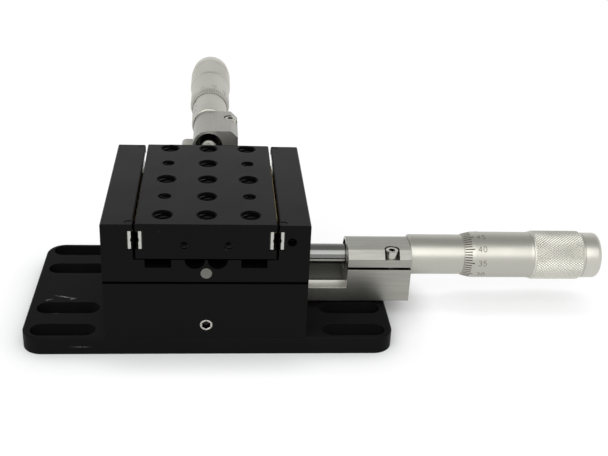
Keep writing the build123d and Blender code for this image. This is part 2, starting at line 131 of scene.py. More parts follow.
def makePiece(name, grids, smoothAngle=35):
    # every grid is (points, wrapRows, wrapColumns); the grids of one piece share a mesh, and its UV map
    # counts once round the columns and in units of 10 mm along the rows
    points, faces, uvs, start = [], [], [], 0
    for grid, wrapRows, wrapColumns in grids:
        rows, columns = grid.shape[:2]
        quads, corners = gridFaces(rows, columns, wrapRows, wrapColumns)
        steps = np.linalg.norm(np.diff(grid[:, 0], axis=0), axis=-1)
        along = np.concatenate([[0], np.cumsum(steps)])
        along = np.append(along, along[-1] + np.linalg.norm(grid[0, 0] - grid[-1, 0])) / (10 * mm)
        points.append(grid.reshape(-1, 3))
        faces.append(quads + start)
        uvs.append(np.stack([corners[:, 0], along[corners[:, 1].astype(int)]], -1))
        start += rows * columns
    mesh = bpy.data.meshes.new(name)
    mesh.from_pydata(np.concatenate(points).tolist(), [], np.concatenate(faces).tolist())
    uvLayer = mesh.uv_layers.new(name="turned")
    uvLayer.data.foreach_set("uv", np.concatenate(uvs).astype(np.float32).ravel())
    obj = bpy.data.objects.new(name, mesh)
    scene.collection.objects.link(obj)
    tidyMesh(obj, smoothAngle)
    return obj


def tidyMesh(obj, smoothAngle):
    # doubles merged, normals outwards, and edges sharp past the angle
    work = bmesh.new()
    work.from_mesh(obj.data)
    bmesh.ops.remove_doubles(work, verts=work.verts, dist=0.0002 * mm)
    bmesh.ops.recalc_face_normals(work, faces=work.faces)
    work.to_mesh(obj.data)
    work.free()
    obj.data.shade_smooth()
    obj.data.set_sharp_from_angle(angle=math.radians(smoothAngle))


def setMaterial(obj, material):
    obj.data.materials.clear()
    obj.data.materials.append(material)


def dress(obj, material, body, slotName, *nodes):
    # a finished piece: its material, the body that it rides on, its slot name, which is not used, and the
    # nodes that it replaces
    setMaterial(obj, material)
    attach(obj, body)
    if nodes:
        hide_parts(*nodes)
    return obj


def roundCorners(profile, steps=3):
    # a profile of (x, radius, corner size): each corner becomes a short parabola between points that
    # lie its size away along the two sides
    profile = np.array(profile, float)
    made = []
    for before, here, after in zip(np.roll(profile, 1, 0), profile, np.roll(profile, -1, 0)):
        size = here[2]
        if size <= 0:
            made.append(here[:2])
            continue
        back, ahead = before[:2] - here[:2], after[:2] - here[:2]
        backLength, aheadLength = np.linalg.norm(back), np.linalg.norm(ahead)
        start = here[:2] + back / backLength * min(size, backLength / 2)
        end = here[:2] + ahead / aheadLength * min(size, aheadLength / 2)
        for t in np.linspace(0, 1, steps + 1):
            made.append((1 - t) ** 2 * start + 2 * t * (1 - t) * here[:2] + t ** 2 * end)
    return np.array(made)


def ringAt(x, radius, angle):
    # points round the micrometer's axis: the angle counts up from the front of the stage
    return np.stack([x + 0 * angle, -radius * np.cos(angle), axisHeight + radius * np.sin(angle)], -1)


def sweptTurn(profile, stageName, segments=96):
    # the closed profile of (x, radius) swept a full turn about the micrometer's axis
    angle = np.arange(segments) * 2 * np.pi / segments
    return toWorld(ringAt(profile[:, 0, None], profile[:, 1, None], angle), stageName)


# Materials: shared effects are node groups, and each finish keeps its own shader
def newGroup(name, inputs, outputs):
    # a node group; the kind of each input follows from its value
    group = bpy.data.node_groups.new(name, "ShaderNodeTree")
    for label, value in inputs.items():
        kind = "NodeSocketFloat" if isinstance(value, float) else "NodeSocketVector"
        group.interface.new_socket(name=label, in_out="INPUT", socket_type=kind).default_value = value
    for label in outputs:
        group.interface.new_socket(name=label, in_out="OUTPUT", socket_type="NodeSocketFloat")
    nodes = group.nodes
    return group, nodes, group.links, nodes.new("NodeGroupInput"), nodes.new("NodeGroupOutput")


def feed(links, socket, value):
    # a socket takes a number, a colour or what another node puts out
    if isinstance(value, (int, float)):
        socket.default_value = value
    elif isinstance(value, tuple):
        socket.default_value = (*value, 1.0)
    else:
        links.new(value, socket)


def mathNode(nodes, links, operation, *values, clamp=False):
    node = nodes.new("ShaderNodeMath")
    node.operation = operation
    node.use_clamp = clamp
    for socket, value in zip(node.inputs, values):
        feed(links, socket, value)
    return node.outputs[0]


def vectorNode(nodes, links, operation, *values):
    node = nodes.new("ShaderNodeVectorMath")
    node.operation = operation
    for socket, value in zip(node.inputs, values):
        links.new(value, socket)
    return node


def objectPlace(nodes):
    return nodes.new("ShaderNodeTexCoord").outputs["Object"]


def noiseNode(nodes, links, vector, scale, detail):
    noise = nodes.new("ShaderNodeTexNoise")
    feed(links, noise.inputs["Detail"], detail)
    feed(links, noise.inputs["Scale"], scale)
    links.new(vector, noise.inputs["Vector"])
    return noise.outputs["Fac"]


def buildGrain():
    # even blasted grain, and slow clouds of tone
    group, nodes, links, given, out = newGroup(
        "blastedGrain", {"Grain Scale": 4000.0, "Cloud Scale": 60.0}, ["Height", "Cloud"])
    place = objectPlace(nodes)
    for label, scaleName, detail in (("Height", "Grain Scale", 2.0), ("Cloud", "Cloud Scale", 4.0)):
        links.new(noiseNode(nodes, links, place, given.outputs[scaleName], detail), out.inputs[label])
    return group


def buildToolLines():
    # fine lines that a cutter or a polishing belt leaves: noise stretched along the cut
    inputs = {"Vector": (0.0, 0.0, 0.0), "Stretch": (1.0, 1.0, 1.0), "Scale": 1.0}
    group, nodes, links, given, out = newGroup("toolLines", inputs, ["Height", "Broad"])
    place = vectorNode(nodes, links, "MULTIPLY", given.outputs["Vector"], given.outputs["Stretch"]).outputs[0]
    for label, share, detail in (("Height", 1.0, 3.0), ("Broad", 0.22, 2.0)):
        scale = mathNode(nodes, links, "MULTIPLY", given.outputs["Scale"], share)
        links.new(noiseNode(nodes, links, place, scale, detail), out.inputs[label])
    return group


def buildEdgeWear():
    # edges show where the rounded normal leaves the face's own, broken up by noise; the mask paints them
    # paler, as wear and as a painted highlight
    group, nodes, links, given, out = newGroup(
        "edgeWear", {"Radius": 0.0003, "Gain": 3.0, "Breakup Scale": 300.0}, ["Mask"])
    rounded = nodes.new("ShaderNodeBevel")
    rounded.samples = 6
    links.new(given.outputs["Radius"], rounded.inputs["Radius"])
    flat = nodes.new("ShaderNodeNewGeometry").outputs["True Normal"]
    alike = vectorNode(nodes, links, "DOT_PRODUCT", rounded.outputs[0], flat).outputs["Value"]
    turned = mathNode(nodes, links, "SUBTRACT", 1.0, alike)
    edge = mathNode(nodes, links, "MULTIPLY", turned, given.outputs["Gain"], clamp=True)
    noise = noiseNode(nodes, links, objectPlace(nodes), given.outputs["Breakup Scale"], 3.0)
    broken = mathNode(nodes, links, "MULTIPLY_ADD", noise, 2.2, -0.55, clamp=True)
    links.new(mathNode(nodes, links, "MULTIPLY", edge, broken), out.inputs["Mask"])
    return group


def buildDust():
    # sparse pale specks: cells whose middle is near and whose random value is low
    group, nodes, links, given, out = newGroup(
        "dustSpecks", {"Scale": 350.0, "Size": 0.1, "Share": 0.03}, ["Mask"])
    cells = nodes.new("ShaderNodeTexVoronoi")
    links.new(objectPlace(nodes), cells.inputs["Vector"])
    links.new(given.outputs["Scale"], cells.inputs["Scale"])
    near = mathNode(nodes, links, "LESS_THAN", cells.outputs["Distance"], given.outputs["Size"])
    parts = nodes.new("ShaderNodeSeparateColor")
    links.new(cells.outputs["Color"], parts.inputs[0])
    chosen = mathNode(nodes, links, "LESS_THAN", parts.outputs[0], given.outputs["Share"])
    links.new(mathNode(nodes, links, "MULTIPLY", near, chosen), out.inputs["Mask"])
    return group


grainGroup, toolLinesGroup = buildGrain(), buildToolLines()
edgeWearAndHighlightGroup, dustGroup = buildEdgeWear(), buildDust()


def placeGroup(nodes, group, values):
    node = nodes.new("ShaderNodeGroup")
    node.node_tree = group
    for label, value in values.items():
        node.inputs[label].default_value = value
    return node


def startMaterial(name, roughness, metallic=0.0, specular=0.5):
    material = bpy.data.materials.new(name)
    material.use_nodes = True
    nodes, links = material.node_tree.nodes, material.node_tree.links
    shader = nodes["Principled BSDF"]
    shader.inputs["Roughness"].default_value = roughness
    shader.inputs["Metallic"].default_value = metallic
    shader.inputs["Specular IOR Level"].default_value = specular
    return material, nodes, links, shader


def finishShader(nodes, links, shader, colour, height, depth, strength):
    # the colour and a shallow bump
    bump = nodes.new("ShaderNodeBump")
    bump.inputs["Strength"].default_value = strength
    bump.inputs["Distance"].default_value = depth
    links.new(height, bump.inputs["Height"])
    links.new(bump.outputs[0], shader.inputs["Normal"])
    links.new(colour, shader.inputs["Base Color"])


def driftRoughness(nodes, links, shader, cloud, middle, spread):
    # the roughness drifts about its middle with the clouds of tone
    rough = mathNode(nodes, links, "MULTIPLY_ADD", cloud, spread, middle - spread / 2)
    links.new(rough, shader.inputs["Roughness"])


def mixColour(nodes, links, mask, low, high):
    node = nodes.new("ShaderNodeMix")
    node.data_type = "RGBA"
    node.clamp_factor = True
    for label, value in (("Factor", mask), ("A", low), ("B", high)):
        feed(links, node.inputs[label], value)
    return node.outputs["Result"]


# Black anodised aluminium: the blocks have a finer finish than the base plate, threads near the mouths
# take a painted glint, and the mouths of the holes and the joint between the bodies take painted shade
anodisedValues = {
    "anodised": {
        "colour": (0.0014, 0.0014, 0.0016), "pale": (0.0026, 0.0025, 0.0026), "worn": (0.030, 0.030, 0.031),
        "roughness": 0.38, "specular": 0.074, "grainDepth": 0.000012, "wear": 0.2, "specks": 0.010},
    "baseAnodised": {
        "colour": (0.0050, 0.0050, 0.0056), "pale": (0.0074, 0.0073, 0.0076), "worn": (0.32, 0.32, 0.325),
        "roughness": 0.42, "specular": 0.02, "grainDepth": 0.000014, "wear": 0.06, "specks": 0.008},
    # a painted glint on the threads near the mouths and in the end taps
    "cutAnodised": {
        "colour": (0.012, 0.012, 0.012), "pale": (0.03, 0.03, 0.03), "worn": (0.09, 0.09, 0.09),
        "roughness": 0.26, "specular": 0.5, "grainDepth": 0.000008, "wear": 0.5, "specks": 0.0},
    # painted shade in the mouths of the holes
    "mouthAnodised": {
        "colour": (0.001, 0.001, 0.001), "pale": (0.002, 0.002, 0.002), "worn": (0.02, 0.02, 0.02),
        "roughness": 0.45, "specular": 0.022, "grainDepth": 0.000012, "wear": 0.3, "specks": 0.0},
    # painted shade at the joint between the two bodies
    "jointAnodised": {
        "colour": (0.0006, 0.0006, 0.0006), "pale": (0.0009, 0.0009, 0.0009), "worn": (0.002, 0.002, 0.002),
        "roughness": 0.7, "specular": 0.0, "grainDepth": 0.000008, "wear": 0.0, "specks": 0.0},
}
anodisedEffects = {
    "grain": {"Grain Scale": 5200.0, "Cloud Scale": 70.0},
    "wear": {"Radius": 0.00025, "Gain": 2.4, "Breakup Scale": 420.0},
    "specks": {"Scale": 520.0, "Size": 0.16}, "speckStrength": 0.5, "roughSpread": 0.16, "bump": 0.5,
    "streakScale": 2600.0, "streakGain": 5.0, "streakFrom": -2.3, "markGain": 5.0,
}
rubMarks = [  # middle and half sizes in millimetres, turn in degrees, strength
    {"at": (-45.2, -6.1, 5.8), "size": (3.4, 0.32, 0.6), "turn": -14, "strength": 0.8},
    {"at": (-42.2, -7.3, 5.8), "size": (1.0, 0.45, 0.6), "turn": 20, "strength": 1.0},
    {"at": (-49.6, -7.9, 5.8), "size": (1.6, 0.30, 0.6), "turn": 25, "strength": 0.5},
    {"at": (-45.7, -15.9, 5.8), "size": (1.9, 0.28, 0.6), "turn": 4, "strength": 0.55},
    {"at": (-37.3, -30.0, 2.6), "size": (4.0, 0.6, 0.22), "turn": 0, "strength": 0.12},
]


def drawMark(nodes, links, mark, place, streak):
    # a flat ellipsoid on the surface, broken up by the streaks
    mapping = nodes.new("ShaderNodeMapping")
    mapping.vector_type = "TEXTURE"
    mapping.inputs["Location"].default_value = [at * mm for at in mark["at"]]
    mapping.inputs["Rotation"].default_value = (0, 0, math.radians(mark["turn"]))
    mapping.inputs["Scale"].default_value = [half * mm for half in mark["size"]]
    links.new(place, mapping.inputs["Vector"])
    length = vectorNode(nodes, links, "LENGTH", mapping.outputs[0]).outputs["Value"]
    inside = mathNode(nodes, links, "SUBTRACT", 1.0, length, clamp=True)
    drawn = mathNode(nodes, links, "MULTIPLY", inside, streak)
    strength = anodisedEffects["markGain"] * mark["strength"]
    return mathNode(nodes, links, "MULTIPLY", drawn, strength, clamp=True)


def anodisedMaterial(name, marks=()):
    # black with clouds of tone; edges show paler as wear and as a painted highlight, and so do specks and
    # marks
    value, effect = anodisedValues[name], anodisedEffects
    material, nodes, links, shader = startMaterial(name, value["roughness"], 0.0, value["specular"])
    grain = placeGroup(nodes, grainGroup, effect["grain"])
    wear = placeGroup(nodes, edgeWearAndHighlightGroup, effect["wear"])
    specks = placeGroup(nodes, dustGroup, {**effect["specks"], "Share": value["specks"]})
    colour = mixColour(nodes, links, grain.outputs["Cloud"], value["colour"], value["pale"])
    worn = mathNode(nodes, links, "MULTIPLY", wear.outputs["Mask"], value["wear"])
    dusty = mathNode(nodes, links, "MULTIPLY", specks.outputs["Mask"], effect["speckStrength"])
    mask = mathNode(nodes, links, "MAXIMUM", worn, dusty)
    if marks:
        place = objectPlace(nodes)
        noise = noiseNode(nodes, links, place, effect["streakScale"], 3.0)
        streak = mathNode(nodes, links, "MULTIPLY_ADD", noise, effect["streakGain"], effect["streakFrom"],
                          clamp=True)
        for mark in marks:
            mask = mathNode(nodes, links, "MAXIMUM", mask, drawMark(nodes, links, mark, place, streak))
    colour = mixColour(nodes, links, mask, colour, value["worn"])
    finishShader(nodes, links, shader, colour, grain.outputs["Height"], value["grainDepth"], effect["bump"])
    driftRoughness(nodes, links, shader, grain.outputs["Cloud"], value["roughness"], effect["roughSpread"])
    return material


# Steels and brass. The tool lines are stretched along the piece's own stage.
metalValues = {
    "bracketSteel": {"colour": (0.37, 0.366, 0.334), "dark": (0.27, 0.267, 0.243), "roughness": 0.35,
                     "stretch": (1.0, 14.0, 14.0), "scale": 420.0, "depth": 0.000006},
    # a painted highlight for the ledge and the clamp's face towards the body
    "ledgeSteel": {"colour": (1.0, 0.985, 0.91), "dark": (0.90, 0.885, 0.81), "roughness": 0.36,
                   "stretch": (1.0, 14.0, 14.0), "scale": 420.0, "depth": 0.000006},
    # a painted shade for the trough
    "channelSteel": {"colour": (0.115, 0.115, 0.103), "dark": (0.075, 0.075, 0.067), "roughness": 0.42,
                     "stretch": (1.0, 8.0, 8.0), "scale": 420.0, "depth": 0.000006},
    "railSteel": {"colour": (0.58, 0.58, 0.545), "dark": (0.38, 0.38, 0.355), "roughness": 0.24,
                  "stretch": (1.0, 12.0, 12.0), "scale": 500.0, "depth": 0.000003},
    "pinSteel": {"colour": (0.18, 0.182, 0.163), "dark": (0.12, 0.122, 0.107), "roughness": 0.38,
                 "stretch": (6.0, 6.0, 6.0), "scale": 300.0, "depth": 0.000004},
    "screwSteel": {"colour": (0.55, 0.535, 0.49), "dark": (0.36, 0.35, 0.31), "roughness": 0.26,
                   "stretch": (4.0, 4.0, 10.0), "scale": 420.0, "depth": 0.000004},
    "springSteel": {"colour": (0.46, 0.45, 0.42), "dark": (0.30, 0.29, 0.27), "roughness": 0.3,
                    "stretch": (6.0, 6.0, 6.0), "scale": 300.0, "depth": 0.000002},
    "ballSteel": {"colour": (0.6, 0.6, 0.6), "dark": (0.5, 0.5, 0.5), "roughness": 0.12,
                  "stretch": (3.0, 3.0, 3.0), "scale": 300.0, "depth": 0.000001},
    # black steel for the shims and the preload screw, and painted shade inside the clamp's slit and the screw
    # sockets
    "blackSteel": {"colour": (0.030, 0.029, 0.028), "dark": (0.015, 0.015, 0.014), "roughness": 0.36,
                   "stretch": (5.0, 5.0, 5.0), "scale": 300.0, "depth": 0.000004},
    "brass": {"colour": (0.50, 0.37, 0.16), "dark": (0.34, 0.245, 0.105), "roughness": 0.32,
              "stretch": (1.0, 8.0, 8.0), "scale": 400.0, "depth": 0.000004},
}
metalEffects = {
    "grain": {"Grain Scale": 3800.0, "Cloud Scale": 110.0},
    "wear": {"Radius": 0.0002, "Gain": 1.6, "Breakup Scale": 500.0}, "wearStrength": 0.5, "wearBright": 1.35,
    "toneGain": 0.9, "toneFrom": 0.05, "roughSpread": 0.14, "bump": 0.6,
}


def metalMaterial(name, stageName):
    # tool lines between two tones, with edges painted brighter, as wear and as a painted highlight
    value, effect = metalValues[name], metalEffects
    material, nodes, links, shader = startMaterial(name + "_" + stageName, value["roughness"], 1.0)
    turn = nodes.new("ShaderNodeMapping")
    turn.inputs["Rotation"].default_value = (0, 0, -math.pi / 2 if stages[stageName]["quarterTurn"] else 0)
    links.new(objectPlace(nodes), turn.inputs["Vector"])
    lines = placeGroup(nodes, toolLinesGroup, {"Stretch": value["stretch"], "Scale": value["scale"]})
    links.new(turn.outputs[0], lines.inputs["Vector"])
    grain = placeGroup(nodes, grainGroup, effect["grain"])
    wear = placeGroup(nodes, edgeWearAndHighlightGroup, effect["wear"])
    tone = mathNode(nodes, links, "MULTIPLY_ADD", lines.outputs["Broad"], effect["toneGain"],
                    effect["toneFrom"], clamp=True)
    colour = mixColour(nodes, links, tone, value["dark"], value["colour"])
    bright = tuple(min(1.0, effect["wearBright"] * part) for part in value["colour"])
    worn = mathNode(nodes, links, "MULTIPLY", wear.outputs["Mask"], effect["wearStrength"])
    colour = mixColour(nodes, links, worn, colour, bright)
    finishShader(nodes, links, shader, colour, lines.outputs["Height"], value["depth"], effect["bump"])
    driftRoughness(nodes, links, shader, grain.outputs["Cloud"], value["roughness"], effect["roughSpread"])
    return material


# Turned pieces carry their lines round the axis, from the piece's own UV map
turnedValues = {
    "satinChrome": {"colour": (0.49, 0.481, 0.434), "dark": (0.42, 0.411, 0.370), "roughness": 0.38,
                    "stretch": (0.6, 40.0, 1.0), "scale": 14.0, "depth": 0.000004},
    "capChrome": {"colour": (0.59, 0.578, 0.524), "dark": (0.50, 0.490, 0.443), "roughness": 0.34,
                  "stretch": (0.6, 40.0, 1.0), "scale": 14.0, "depth": 0.000004},
    "spindleSteel": {"colour": (0.207, 0.209, 0.199), "dark": (0.166, 0.168, 0.160), "roughness": 0.17,
                     "stretch": (0.4, 60.0, 1.0), "scale": 16.0, "depth": 0.0000015},
    "knurledChrome": {"colour": (0.66, 0.649, 0.588), "dark": (0.53, 0.521, 0.472), "roughness": 0.40,
                      "stretch": (6.0, 8.0, 1.0), "scale": 18.0, "depth": 0.000003},
}
turnedEffects = {
    "grain": {"Grain Scale": 4200.0, "Cloud Scale": 130.0}, "stainGain": 1.6, "stainFrom": -0.7,
    "stainStrength": 0.35, "roughSpread": 0.12, "bump": 0.5,
}


def turnedMaterial(name):
    # tool lines round the axis between two tones, with darker stains
    value, effect = turnedValues[name], turnedEffects
    material, nodes, links, shader = startMaterial(name, value["roughness"], 1.0)
    uvMap = nodes.new("ShaderNodeUVMap")
    uvMap.uv_map = "turned"
    lines = placeGroup(nodes, toolLinesGroup, {"Stretch": value["stretch"], "Scale": value["scale"]})
    links.new(uvMap.outputs[0], lines.inputs["Vector"])
    grain = placeGroup(nodes, grainGroup, effect["grain"])
    colour = mixColour(nodes, links, lines.outputs["Broad"], value["dark"], value["colour"])
    stain = mathNode(nodes, links, "MULTIPLY_ADD", grain.outputs["Cloud"], effect["stainGain"],
                     effect["stainFrom"], clamp=True)
    stain = mathNode(nodes, links, "MULTIPLY", stain, effect["stainStrength"])
    colour = mixColour(nodes, links, stain, colour, value["dark"])
    finishShader(nodes, links, shader, colour, lines.outputs["Height"], value["depth"], effect["bump"])
    driftRoughness(nodes, links, shader, grain.outputs["Cloud"], value["roughness"], effect["roughSpread"])
    return material


# Fill in the engraved lines and figures: the darker and the lighter of its colours
fillColours = {
    "engravingFill": ((0.030, 0.026, 0.020), (0.13, 0.115, 0.088)),
    "figureFill": ((0.10, 0.092, 0.075), (0.22, 0.205, 0.17)),
    "fadedFill": ((0.24, 0.235, 0.215), (0.34, 0.33, 0.30)),
}
fillEffects = {"grain": {"Grain Scale": 3000.0, "Cloud Scale": 700.0}, "roughness": 0.6, "specular": 0.2,
               "depth": 0.000004, "bump": 0.4}


def fillMaterial(name):
    # a matt fill, a little uneven
    effect = fillEffects
    material, nodes, links, shader = startMaterial(name, effect["roughness"], 0.0, effect["specular"])
    grain = placeGroup(nodes, grainGroup, effect["grain"])
    colour = mixColour(nodes, links, grain.outputs["Cloud"], *fillColours[name])
    finishShader(nodes, links, shader, colour, grain.outputs["Height"], effect["depth"], effect["bump"])
    return material


finishes = {}
for finishName in anodisedValues:
    finishes[finishName] = anodisedMaterial(finishName, rubMarks if finishName == "baseAnodised" else ())
for finishName in turnedValues:
    finishes[finishName] = turnedMaterial(finishName)
for finishName in fillColours:
    finishes[finishName] = fillMaterial(finishName)
for finishName in metalValues:
    for stageName in stages:
        finishes[finishName, stageName] = metalMaterial(finishName, stageName)
print("finishes made,", len(finishes))

# Every node of the frame gets its finish: name without the stage, material, record slot, edge rounding
# in mm. Pieces without a rounding keep the node's own mesh, or are made anew further down.
nodeFinish = {
    "body": ("anodised", "anodised", 0.16),
    "carriage": ("anodised", "anodised", 0.16),
    "wall_rails": ("railSteel", "rail_steel", 0.05),
    "wall_shims": ("blackSteel", "rail_steel", 0.04),
    "carriage_rails": ("railSteel", "rail_steel", 0.05),
    "carriage_shims": ("blackSteel", "rail_steel", 0.04),
    "rail_pins": ("anodised", "pin_steel", 0.12),
    "dowel_pin": ("pinSteel", "pin_steel", 0.2),
    "body_screws": ("screwSteel", "screw_steel", 0.2),
    "body_spring_pins": ("pinSteel", "pin_steel", 0.1),
    "carriage_spring_pins": ("pinSteel", "pin_steel", 0.1),
    "bracket": ("bracketSteel", "bracket_steel", 0.12),
    "bracket_screws": ("screwSteel", "screw_steel", 0.12),
    "thread_nut": ("brass", "brass", 0.15),
    "contact_pad": ("pinSteel", "pin_steel", 0.12),
    "balls": ("ballSteel", "ball_steel", 0),
    "ball_cages": ("brass", "brass", 0.06),
    "springs": ("springSteel", "spring_steel", 0),
    "preload_screw": ("screwSteel", "screw_steel", 0),
    "side_set_screw": ("screwSteel", "screw_steel", 0),
    "clamp_screw": ("screwSteel", "screw_steel", 0),
    "micrometer_sleeve": ("satinChrome", "satin_chrome", 0),
    "spindle": ("spindleSteel", "spindle_steel", 0),
    "thimble": ("satinChrome", "satin_chrome", 0),
    "thimble_cap": ("satinChrome", "satin_chrome", 0),
}


def finishOf(key, stageName):
    # steels have one material for each stage, and the other finishes have one for both
    return finishes[key] if key in finishes else finishes[key, stageName]


copyValues = {"weld": 0.001, "flatWithin": 0.4, "roundedFrom": 35, "segments": 2}


def roundedCopy(nodeName, pieceName, material, slotName, rounding, cutLevel=None):
    # a merged copy of a machined node, with its flat faces joined and its edges rounded; a cut level
    # parts its upright faces at that height, so that they can take two finishes
    v, source = copyValues, frame["nodes"][nodeName]
    obj = bpy.data.objects.new(pieceName, source.data.copy())
    scene.collection.objects.link(obj)
    work = bmesh.new()
    work.from_mesh(obj.data)
    bmesh.ops.remove_doubles(work, verts=work.verts, dist=v["weld"] * mm)
    flatWithin = math.radians(v["flatWithin"])
    bmesh.ops.dissolve_limit(work, angle_limit=flatWithin, verts=work.verts, edges=work.edges)
    if cutLevel is not None:
        everything = work.verts[:] + work.edges[:] + work.faces[:]
        bmesh.ops.bisect_plane(work, geom=everything, plane_co=(0, 0, cutLevel), plane_no=(0, 0, 1))
    work.to_mesh(obj.data)
    work.free()
    obj.data.shade_smooth()
    bevel = obj.modifiers.new("edges", "BEVEL")
    bevel.width = rounding * mm
    bevel.segments = v["segments"]
    bevel.limit_method = "ANGLE"
    bevel.angle_limit = math.radians(v["roundedFrom"])
    bevel.miter_outer = "MITER_ARC"
    normals = obj.modifiers.new("flatFaces", "WEIGHTED_NORMAL")
    normals.weight = 100
    normals.keep_sharp = True
    return dress(obj, material, source["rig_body"], slotName, nodeName)


def faceCentres(obj, stageName):
    # the middles of a piece's faces, in millimetres in the stage's own frame
    return toStage(meshValues(obj.data.polygons, "center"), stageName)


def faceLevelness(obj):
    # 1 for a level face, 0 for an upright one
    return np.abs(meshValues(obj.data.polygons, "normal")[:, 2])


def moveVertices(obj, points, stageName):
    obj.data.vertices.foreach_set("co", toWorld(points, stageName).ravel())
    obj.data.update()


def paintFaces(obj, material, chosen, index):
    # the chosen faces take one more material
    obj.data.materials.append(material)
    indices = np.empty(len(obj.data.polygons), np.int32)
    obj.data.polygons.foreach_get("material_index", indices)
    obj.data.polygons.foreach_set("material_index", np.where(chosen, index, indices).astype(np.int32))


bracketPaint = {
    "stemRecess": 7.1,  # from the clamp's face to the end of the stem
    "troughRadius": 8.75, "ledgeTop": 5.9, "ledgeReach": 10.0, "slitHeight": 0.7, "slitWidening": 0.1,
}


def paintBracket(stageName):
    # between the body and the clamp, the trough takes painted shade; the ledge in front of it and the
    # clamp's face towards the body take a painted highlight
    v, obj = bracketPaint, bpy.data.objects[stageName + "_bracketFine"]
    x, y, z = faceCentres(obj, stageName).T
    low, high = bodyBox[1][0], sleeveBox[0][0] - v["stemRecess"]
    between = (x > low) & (x < high)
    trough = between & (np.hypot(y, z - axisHeight) < v["troughRadius"])
    ledge = between & ~trough & (np.abs(z - v["ledgeTop"]) < 0.1) & (np.abs(y) < v["ledgeReach"])
    clampFace = (np.abs(x - high) < 0.25) & (z > v["ledgeTop"])
    # painted shade in the trough, and a painted highlight on the ledge and the clamp's face
    paintFaces(obj, finishes["channelSteel", stageName], trough, 1)
    paintFaces(obj, finishes["ledgeSteel", stageName], ledge | clampFace, 2)
    # the slit of the clamp takes painted shade inside, and is as wide as before the rounding of its edges
    inSlit = (np.abs(np.abs(z - axisHeight) - v["slitHeight"] / 2) < 0.05) & (x > high) & (y < -5)
    paintFaces(obj, finishes["blackSteel", stageName], inSlit & (faceLevelness(obj) > 0.9), 3)
    points = toStage(meshValues(obj.data.vertices, "co"), stageName)
    x, y, z = points.T
    slitEdge = (np.abs(np.abs(z - axisHeight) - v["slitHeight"] / 2) < 0.03) & (x > high - 1) & (y < -5.2)
    points[:, 2] += np.where(slitEdge, np.sign(z - axisHeight) * v["slitWidening"], 0)
    moveVertices(obj, points, stageName)


# Tapped holes of the carriage. Their threads take a painted glint down to one depth, and again in the end
# taps.
threads = {
    "largeHoles": {"radius": 2.6, "crest": 0.34, "pitch": 1.27, "depth": 5.6},
    "smallHoles": {"radius": 1.75, "crest": 0.24, "pitch": 0.794, "depth": 6.0},
    "endHoles": {"radius": 1.2, "crest": 0.2, "pitch": 0.635, "depth": 4.6},
    "gridPitch": 12.7, "gridOffset": 1.6, "top": stageBox("carriage")[1][2], "endLevel": 12.2,
    "mouth": 0.36, "widening": 0.2, "rimReach": 0.6, "litDepth": 1.15, "endTapsDepth": 6.35,
    "samples": 28, "runIn": 0.3,  # for each turn of a thread, and turns over which it rises at its ends
    "sunk": 0.03, "footShare": 0.45, "crestShare": 0.05,  # half widths of the ridge, in pitches
}


def fromGridHole(points):
    # how far rows of points lie from the middle of the nearest hole in x and y, and whether the grid
    # of five by three holes has one there
    v = threads
    row = np.round((points[:, 0] - v["gridOffset"]) / v["gridPitch"])
    column = np.round(points[:, 1] / v["gridPitch"])
    holes = np.stack([v["gridOffset"] + row * v["gridPitch"], column * v["gridPitch"]], -1)
    return points[:, :2] - holes, (np.abs(row) <= 2) & (np.abs(column) <= 1)


def finishMouths(stageName):
    # the chamfers of the tapped holes take painted shade, darker than the blasted face, and on the large
    # holes their outer rings are drawn outwards from each hole's middle by the widening
    v, obj = threads, bpy.data.objects[stageName + "_carriageFine"]
    holeRadius = v["largeHoles"]["radius"]
    points = toStage(meshValues(obj.data.vertices, "co"), stageName)
    away, onGrid = fromGridHole(points)
    distance = np.hypot(*away.T)
    rim = onGrid & (distance > holeRadius + 0.1) & (distance < holeRadius + v["rimReach"])
    rim &= points[:, 2] > v["top"] - 0.05
    points[:, :2] += away * np.where(rim, v["widening"] / np.maximum(distance, 1.0), 0)[:, None]
    moveVertices(obj, points, stageName)
    centres = faceCentres(obj, stageName)
    away, onGrid = fromGridHole(centres)
    depth = v["top"] - centres[:, 2]
    chamfer = onGrid & (np.hypot(*away.T) < holeRadius + v["rimReach"]) & (depth > 0.02) & (depth < 0.6)
    # the chamfers take the painted shade
    paintFaces(obj, finishes["mouthAnodised"], chamfer, 1)


# The joint between the two bodies takes painted shade: a dark band under the lower one's wall tops and
# another over the upper one's foot
jointBandHeight = 0.3
bandLevels = {"lower": bodyBox[1][2] - jointBandHeight, "upper": jointBandHeight}


def paintJoint(stageName):
    # the upright and the sloping faces beyond the level take the painted shade
    obj = bpy.data.objects[stageName + "_bodyFine"]
    above = faceCentres(obj, stageName)[:, 2] - bandLevels[stageName]
    beyond = above > 0 if stageName == "lower" else above < 0
    paintFaces(obj, finishes["jointAnodised"], beyond & (faceLevelness(obj) < 0.8), 1)


roundedCopy("base_plate", "plate", finishes["baseAnodised"], "base_anodised", 0.14)
setMaterial(frame["nodes"]["base_plate"], finishes["baseAnodised"])
for stageName, stage in stages.items():
    for part, (finish, slotName, rounding) in nodeFinish.items():
        nodeName, material = stageName + "_" + part, finishOf(finish, stageName)
        node = frame["nodes"][nodeName]
        setMaterial(node, material)
        if rounding:
            cutLevel = stage["lift"] + bandLevels[stageName] * mm if part == "body" else None
            pieceName = stageName + "_" + part.replace("_", "") + "Fine"
            roundedCopy(nodeName, pieceName, material, slotName, rounding, cutLevel)
    paintBracket(stageName)
    paintJoint(stageName)
    finishMouths(stageName)
print("machined pieces dressed")

# Micrometer heads: places along the axis and radii, most of them from the frame
thimbleBox, capBox = stageBox("thimble"), stageBox("thimble_cap")


def halfHeight(box):
    return (box[1][2] - box[0][2]) / 2


